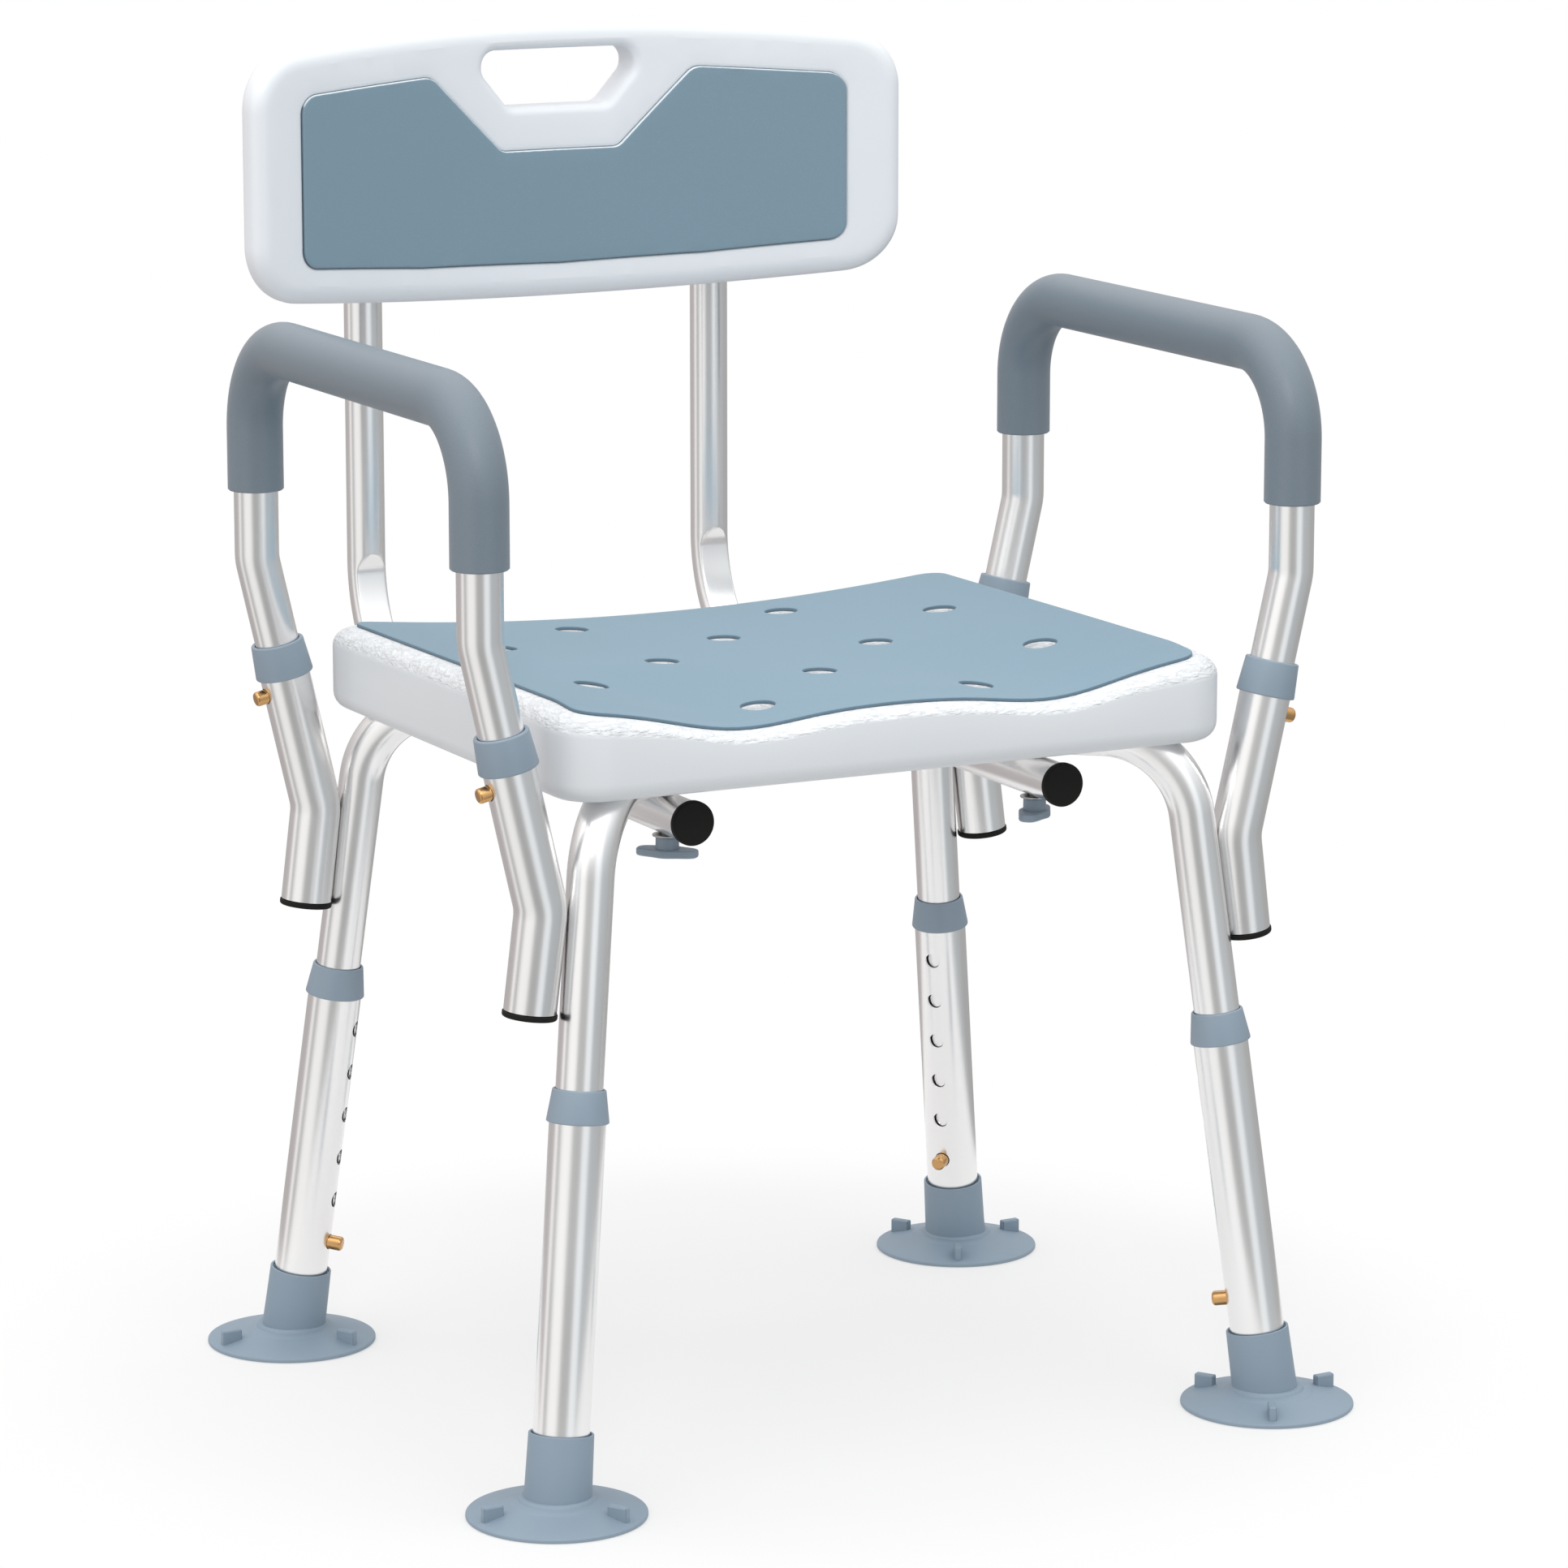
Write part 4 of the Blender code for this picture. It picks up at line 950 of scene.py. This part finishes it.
def handle_outline():
    """The handle slot from the front, narrower at its bottom."""
    right = [(31.5, 690), (48.5, 710), (48.5, 723.3)]
    corners = right + [(-x, z) for x, z in right[::-1]]
    return spaced(rounded_outline(corners, (9,) * 6, 8), 5.0)


def bent(x, depth, z):
    """A point of the backrest, at a depth behind its bowed front face."""
    return Vector((x, panel_front(x) + depth, z))


def round_over(bm, loop, outline, depth, size, outward, steps=6, into=1):
    """Roll an edge from a face at a depth to a wall.

    outward is 1 round the outside and -1 in a hole; into is 1 from the front and -1 from the back."""
    ring = loop
    for k in range(1, steps + 1):
        turn = pi / 2 * k / steps
        around = inset(outline, outward * size * (1 - sin(turn)))
        sunk = depth + into * size * (1 - cos(turn))
        ring = extend(bm, ring, [bent(x, sunk, z) for x, z in around])
    return ring


def backrest_shell():
    """The moulded backrest: rolled edges, a handle slot, a recess for the pad and two bosses."""
    outline = panel_outline()
    handle = handle_outline()
    pad_edge = inset(back_pad_outline(), -RECESS_GAP)
    front, rear, rim, lip = 11.0, 9.0, 5.0, 2.2
    bm = bmesh.new()
    loops = sheet_mesh(bm, inset(outline, front), [inset(handle, -rim), inset(pad_edge, -lip)],
                       7.0, lambda x, z: bent(x, 0.0, z))
    wall = round_over(bm, loops[0], outline, 0.0, front, 1)
    slot = round_over(bm, loops[1], handle, 0.0, rim, -1)
    well = round_over(bm, loops[2], pad_edge, 0.0, lip, -1, 4)
    well = extend(bm, well, [bent(x, RECESS, z) for x, z in pad_edge])
    floor = sheet_mesh(bm, inset(pad_edge, 0.3), [], 16.0, lambda x, z: bent(x, RECESS, z))
    bridge(bm, well, floor[0])
    back = sheet_mesh(bm, inset(outline, rear), [inset(handle, -rim)], 9.0,
                      lambda x, z: bent(x, PANEL_THICK, z))
    bridge(bm, round_over(bm, back[0], outline, PANEL_THICK, rear, 1, into=-1), wall)
    bridge(bm, round_over(bm, back[1], handle, PANEL_THICK, rim, -1, into=-1), slot)
    bmesh.ops.recalc_face_normals(bm, faces=bm.faces[:])
    bm = carve(bm, [boss(side) for side in (-1, 1)], "UNION")
    bm = carve(bm, [rod((side * POST_X, POST_Y, BORE_LOW), (side * POST_X, POST_Y, POST_TOP_Z + 1),
                        POST_R + 0.5, 48) for side in (-1, 1)])
    put(bm, "backrest_moulding", WHITE, "root", "shell", "backrest_shell", sharp=38)


def boss(side):
    """A rear boss around a post, with a softened top and foot."""
    x = side * POST_X
    arc = [(BOSS_R * cos(pi * k / 24), BOSS_R * sin(pi * k / 24)) for k in range(25)]
    bm = bmesh.new()
    rings = []
    for cut, z in ((1.6, BOSS_LOW), (0.5, BOSS_LOW + 0.5), (0.0, BOSS_LOW + 1.6),
                   (0.0, BOSS_HIGH - 4.0), (1.2, BOSS_HIGH - 1.2), (4.0, BOSS_HIGH)):
        scale = 1 - cut / BOSS_R
        outline = [(x + px * scale, POST_Y + py * scale) for px, py in arc]
        outline += [(x - BOSS_R * scale, BOSS_FRONT_Y), (x + BOSS_R * scale, BOSS_FRONT_Y)]
        rings.append([(px, py, z) for px, py in outline])
    made = join_rings(bm, rings)
    bm.faces.new(made[0])
    bm.faces.new(made[-1])
    return bm


def backrest_pad():
    """The foam pad in the recess, with softened cut edges."""
    edge = back_pad_outline()
    bm = bmesh.new()
    loops = sheet_mesh(bm, inset(edge, 1.2), [], 6.0, lambda x, z: bent(x, -PAD_PROUD, z))
    ring = loops[0]
    for step, depth in ((0.4, -1.1), (0.05, -0.8), (0.0, 0.3), (0.0, RECESS - 0.3)):
        ring = extend(bm, ring, [bent(x, depth, z) for x, z in inset(edge, step)])
    pad = put(bm, "backrest_pad_foam", BACK_FOAM, "root", "backrest_pad", "backrest_pad", sharp=50)


def backrest_tube(side, name):
    """A bent post with a flat pressed into the front of its bend, rounded at the top."""
    x = side * POST_X
    path = rounded_path(((x, POST_FRONT_Y, POST_RUN_Z), (x, POST_Y, POST_RUN_Z),
                         (x, POST_Y, POST_TOP_Z)), (POST_BEND,), 1.0)
    last = path.pop()
    while path[-1].z < FLAT_TOP_Z + 4:
        path.append(path[-1] + Vector((0, 0, 0.8)))
    path.append(last)

    def press(i, points, depth):
        """Push the points of a ring behind the flat, which is depth further in for the bore."""
        here = path[min(max(i - 1, 0), len(path) - 1)]
        rise = (here.z - FLAT_MIDDLE_Z) / (FLAT_TOP_Z - FLAT_MIDDLE_Z)
        fade = smooth_ramp((here.z - FLAT_LOW_Z) / FLAT_FADE)
        half = FLAT_HALF_WIDTH * fade * max(0.0, 1 - max(0.0, rise) ** 2) ** 0.5
        if here.y < POST_Y - POST_BEND or half == 0:
            return points
        centre = sum(points, Vector()) / len(points)
        ahead = path[min(i + 1, len(path) - 1)] - path[max(i - 2, 0)]
        front = Vector((0, -ahead.z, ahead.y)).normalized()
        limit = (POST_R ** 2 - half ** 2) ** 0.5 - depth
        out = []
        for p in points:
            over = (p - centre).dot(front) - limit
            out.append(p - front * (over + hypot(over, FLAT_SOFTNESS)) / 2)
        return out

    bm = pipe(path, POST_R, POST_WALL, (1, 0, 0), shape=press, sides=96)
    put(bm, "backrest_post_" + name, TUBE, "root", "tubes", "backrest_tube_" + name)
    end_cap("post_plug_" + name, "backrest_tube_cap_" + name, (x, POST_FRONT_Y, POST_RUN_Z),
            (0, -1, 0), POST_R + 1.0, POST_R - POST_WALL - 0.4, 4.2, 14, 1.3, (0, 0, 1))


# ---- clamps ----------------------------------------------------------------------------

def clamp(side, name):
    """A two-winged knob, and the washer above it."""
    at = Vector((side * POST_X, CLAMP_Y, KNOB_BOTTOM))
    turn = radians(90 - side * 45)
    outline = []
    for k in range(96):
        t = 2 * pi * k / 96
        wing = 1 / (abs(cos(t) / WING_LENGTH) ** 3 + abs(sin(t) / WING_WIDTH) ** 3) ** (1 / 3)
        r = (wing ** 6 + KNOB_R ** 6) ** (1 / 6)
        outline.append((at.x + r * cos(t + turn), at.y + r * sin(t + turn)))
    bm = bmesh.new()
    rings = [[(px, py, KNOB_BOTTOM + h) for px, py in inset(outline, d)] for d, h in
             ((1.1, 0.0), (0.4, 0.25), (0.0, 0.9), (0.0, 3.3), (0.3, 3.9), (0.9, 4.2))]
    made = join_rings(bm, rings)
    bm.faces.new(made[0])
    bm.faces.new(made[-1])
    hub_top = HUB_TOP - KNOB_BOTTOM
    hub = soften(((0, 1), (HUB_R, 1), (HUB_R - 0.2, hub_top), (0, hub_top)), (0, 0, 0.5, 0))
    bm = carve(bm, [turned(hub, at, (0, 0, 1))], "UNION")
    bm = carve(bm, [rod(at + Vector((0, 0, 2.5)), at + Vector((0, 0, 20)), BOLT_HOLE_R)])
    put(bm, "wing_knob_" + name, FITTING, "clamp_knob_" + name, "fittings", "clamp_knob_" + name,
        sharp=30)
    low = WASHER_LOW - KNOB_BOTTOM
    ring = soften(((3.5, low), (8.0, low), (8.0, low + 1), (3.5, low + 1)), (0.2, 0.3, 0.3, 0.2))
    put(turned(ring, at, (0, 0, 1)), "knob_washer_" + name, STEEL, "clamp_washer_" + name, "steel",
        "clamp_washer_" + name)


# ---- the chair -------------------------------------------------------------------------

seat_shell()
seat_pad()
leg_frame("leg_frame_fl_rr", 1, -CROSS_SHIFT)
leg_frame("leg_frame_fr_rl", -1, CROSS_SHIFT)
for tag, sign, end in LEGS:
    leg(tag, sign, end)
for side, name in ((-1, "left"), (1, "right")):
    arm(side, name)
    backrest_tube(side, name)
    clamp(side, name)
backrest_shell()
backrest_pad()
for name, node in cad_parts.items():
    if "spring" in name or "clamp_bolt" in name:      # these keep their plain shape
        node.data.materials.clear()
        node.data.materials.append(STEEL)


# ---- room, light and camera ------------------------------------------------------------

FLOOR_R, GLOW_START, GLOW_FULL, GLOW_LEAST = 0.5, 0.33, 0.48, 0.45     # metres and a share

# Brightness of the dome from straight down (0) to straight up (1): (place, level)
DOME = ((0.0, 0.32), (0.45, 0.42), (0.5, 0.48), (0.62, 0.62), (0.8, 1.05), (1.0, 2.0))

# Soft strips round the studio: (bearing in degrees from +X, half width, strength, tint)
STRIPS = ((-158, 21, 0.52, (1.0, 1.0, 0.99)), (-80, 13, 0.42, (0.95, 0.98, 1.0)),
          (154, 8, 0.5, (1.0, 0.98, 0.97)), (-57, 34, 0.08, (0.5, 0.8, 1.0)),
          (100, 45, 0.07, (1.0, 0.6, 0.55)))

SOFTBOX_PLACE, SOFTBOX_AIM, SOFTBOX_SIZE, SOFTBOX_POWER = (-1.2, -2.4, 2.6), (0, 0, 0.4), 0.7, 16
CAMERA_PLACE, CAMERA_TILT, CAMERA_TURN = (-1.5247, -3.0514, 1.0248), 78.483, -27.016
LENS, SENSOR = 142.78, 36.0


def room():
    """A round pale floor that brightens into the white of the studio."""
    ground = Finish("pale_floor", (0.96, 0.96, 0.96), 0.95)
    spot = ground.add("ShaderNodeTexCoord", output="Object")
    reach = ground.vector("LENGTH", spot, output="Value")
    ground.feed("Base Color", ground.mix(ground.noise(1.5), (0.66,) * 3, (0.69,) * 3))
    glow_share = ground.ramp(reach, GLOW_START, GLOW_FULL) * (1 - GLOW_LEAST) + GLOW_LEAST
    blend = ground.add("ShaderNodeMixShader", {}, {
        0: glow_share, 1: ground.shader.outputs[0], 2: ground.add("ShaderNodeEmission")})
    ground.join(blend, ground.tree.nodes["Material Output"].inputs["Surface"])
    bm = bmesh.new()
    rings = [[(x, y, 0.0) for x, y in circle(0, 0, r, 96)] for r in (0.05, 0.3, FLOOR_R)]
    made = join_rings(bm, rings)
    bm.faces.new(made[0])
    mesh = bpy.data.meshes.new("floor")
    bm.to_mesh(mesh)
    bm.free()
    mesh.materials.append(ground.mat)
    floor = bpy.data.objects.new("floor", mesh)
    bpy.context.scene.collection.objects.link(floor)


def lighting():
    """White to the eye; for light and reflections a grey dome, bright above, with soft strips."""
    world = bpy.data.worlds.new("studio")
    bpy.context.scene.world = world
    world.use_nodes = True
    lit = world.node_tree.nodes["Background"]
    sky = Nodes(world.node_tree)
    way = sky.add("ShaderNodeTexCoord", output="Generated")
    height = sky.add("ShaderNodeSeparateXYZ", {}, {"Vector": way}, output="Z")
    stops = [(place, (level, level, level, 1.0)) for place, level in DOME]
    total = sky.add("ShaderNodeValToRGB", {"stops": stops}, {"Fac": height * 0.5 + 0.5})
    level = sky.vector("NORMALIZE", sky.vector("MULTIPLY", way, (1.0, 1.0, 0.0)))
    for bearing, width, strength, tint in STRIPS:
        aim = (cos(radians(bearing)), sin(radians(bearing)), 0.0)
        facing = sky.vector("DOT_PRODUCT", level, aim, output="Value")
        share = sky.ramp(facing, cos(radians(width * 1.5)), cos(radians(width * 0.5)))
        strip = sky.add("ShaderNodeVectorMath", {"operation": "SCALE"}, {
            0: scaled(tint, strength), "Scale": share})
        total = sky.vector("ADD", total, strip)
    sky.join(total, lit.inputs["Color"])
    eye = sky.add("ShaderNodeLightPath", output="Is Camera Ray")
    seen = sky.add("ShaderNodeBackground", {}, {"Color": (1.0, 1.0, 1.0, 1.0)})
    both = sky.add("ShaderNodeMixShader", {}, {0: eye, 1: lit.outputs[0], 2: seen})
    sky.join(both, world.node_tree.nodes["World Output"].inputs["Surface"])
    softbox()


def softbox():
    """A soft lamp high at the front left, for gentle shadows."""
    data = bpy.data.lights.new("softbox", "AREA")
    data.size = SOFTBOX_SIZE
    data.energy = SOFTBOX_POWER
    lamp = bpy.data.objects.new("softbox", data)
    lamp.location = SOFTBOX_PLACE
    aim = Vector(SOFTBOX_AIM) - lamp.location
    lamp.rotation_euler = aim.to_track_quat("-Z", "Y").to_euler()
    bpy.context.scene.collection.objects.link(lamp)


def camera():
    """A long lens from the front left, a little above the chair."""
    data = bpy.data.cameras.new("camera")
    data.lens = LENS
    data.sensor_width = SENSOR
    eye = bpy.data.objects.new("camera", data)
    eye.location = CAMERA_PLACE
    eye.rotation_euler = (radians(CAMERA_TILT), 0.0, radians(CAMERA_TURN))
    bpy.context.scene.collection.objects.link(eye)
    bpy.context.scene.camera = eye


room()
lighting()
camera()
bpy.context.scene.view_settings.view_transform = "Standard"
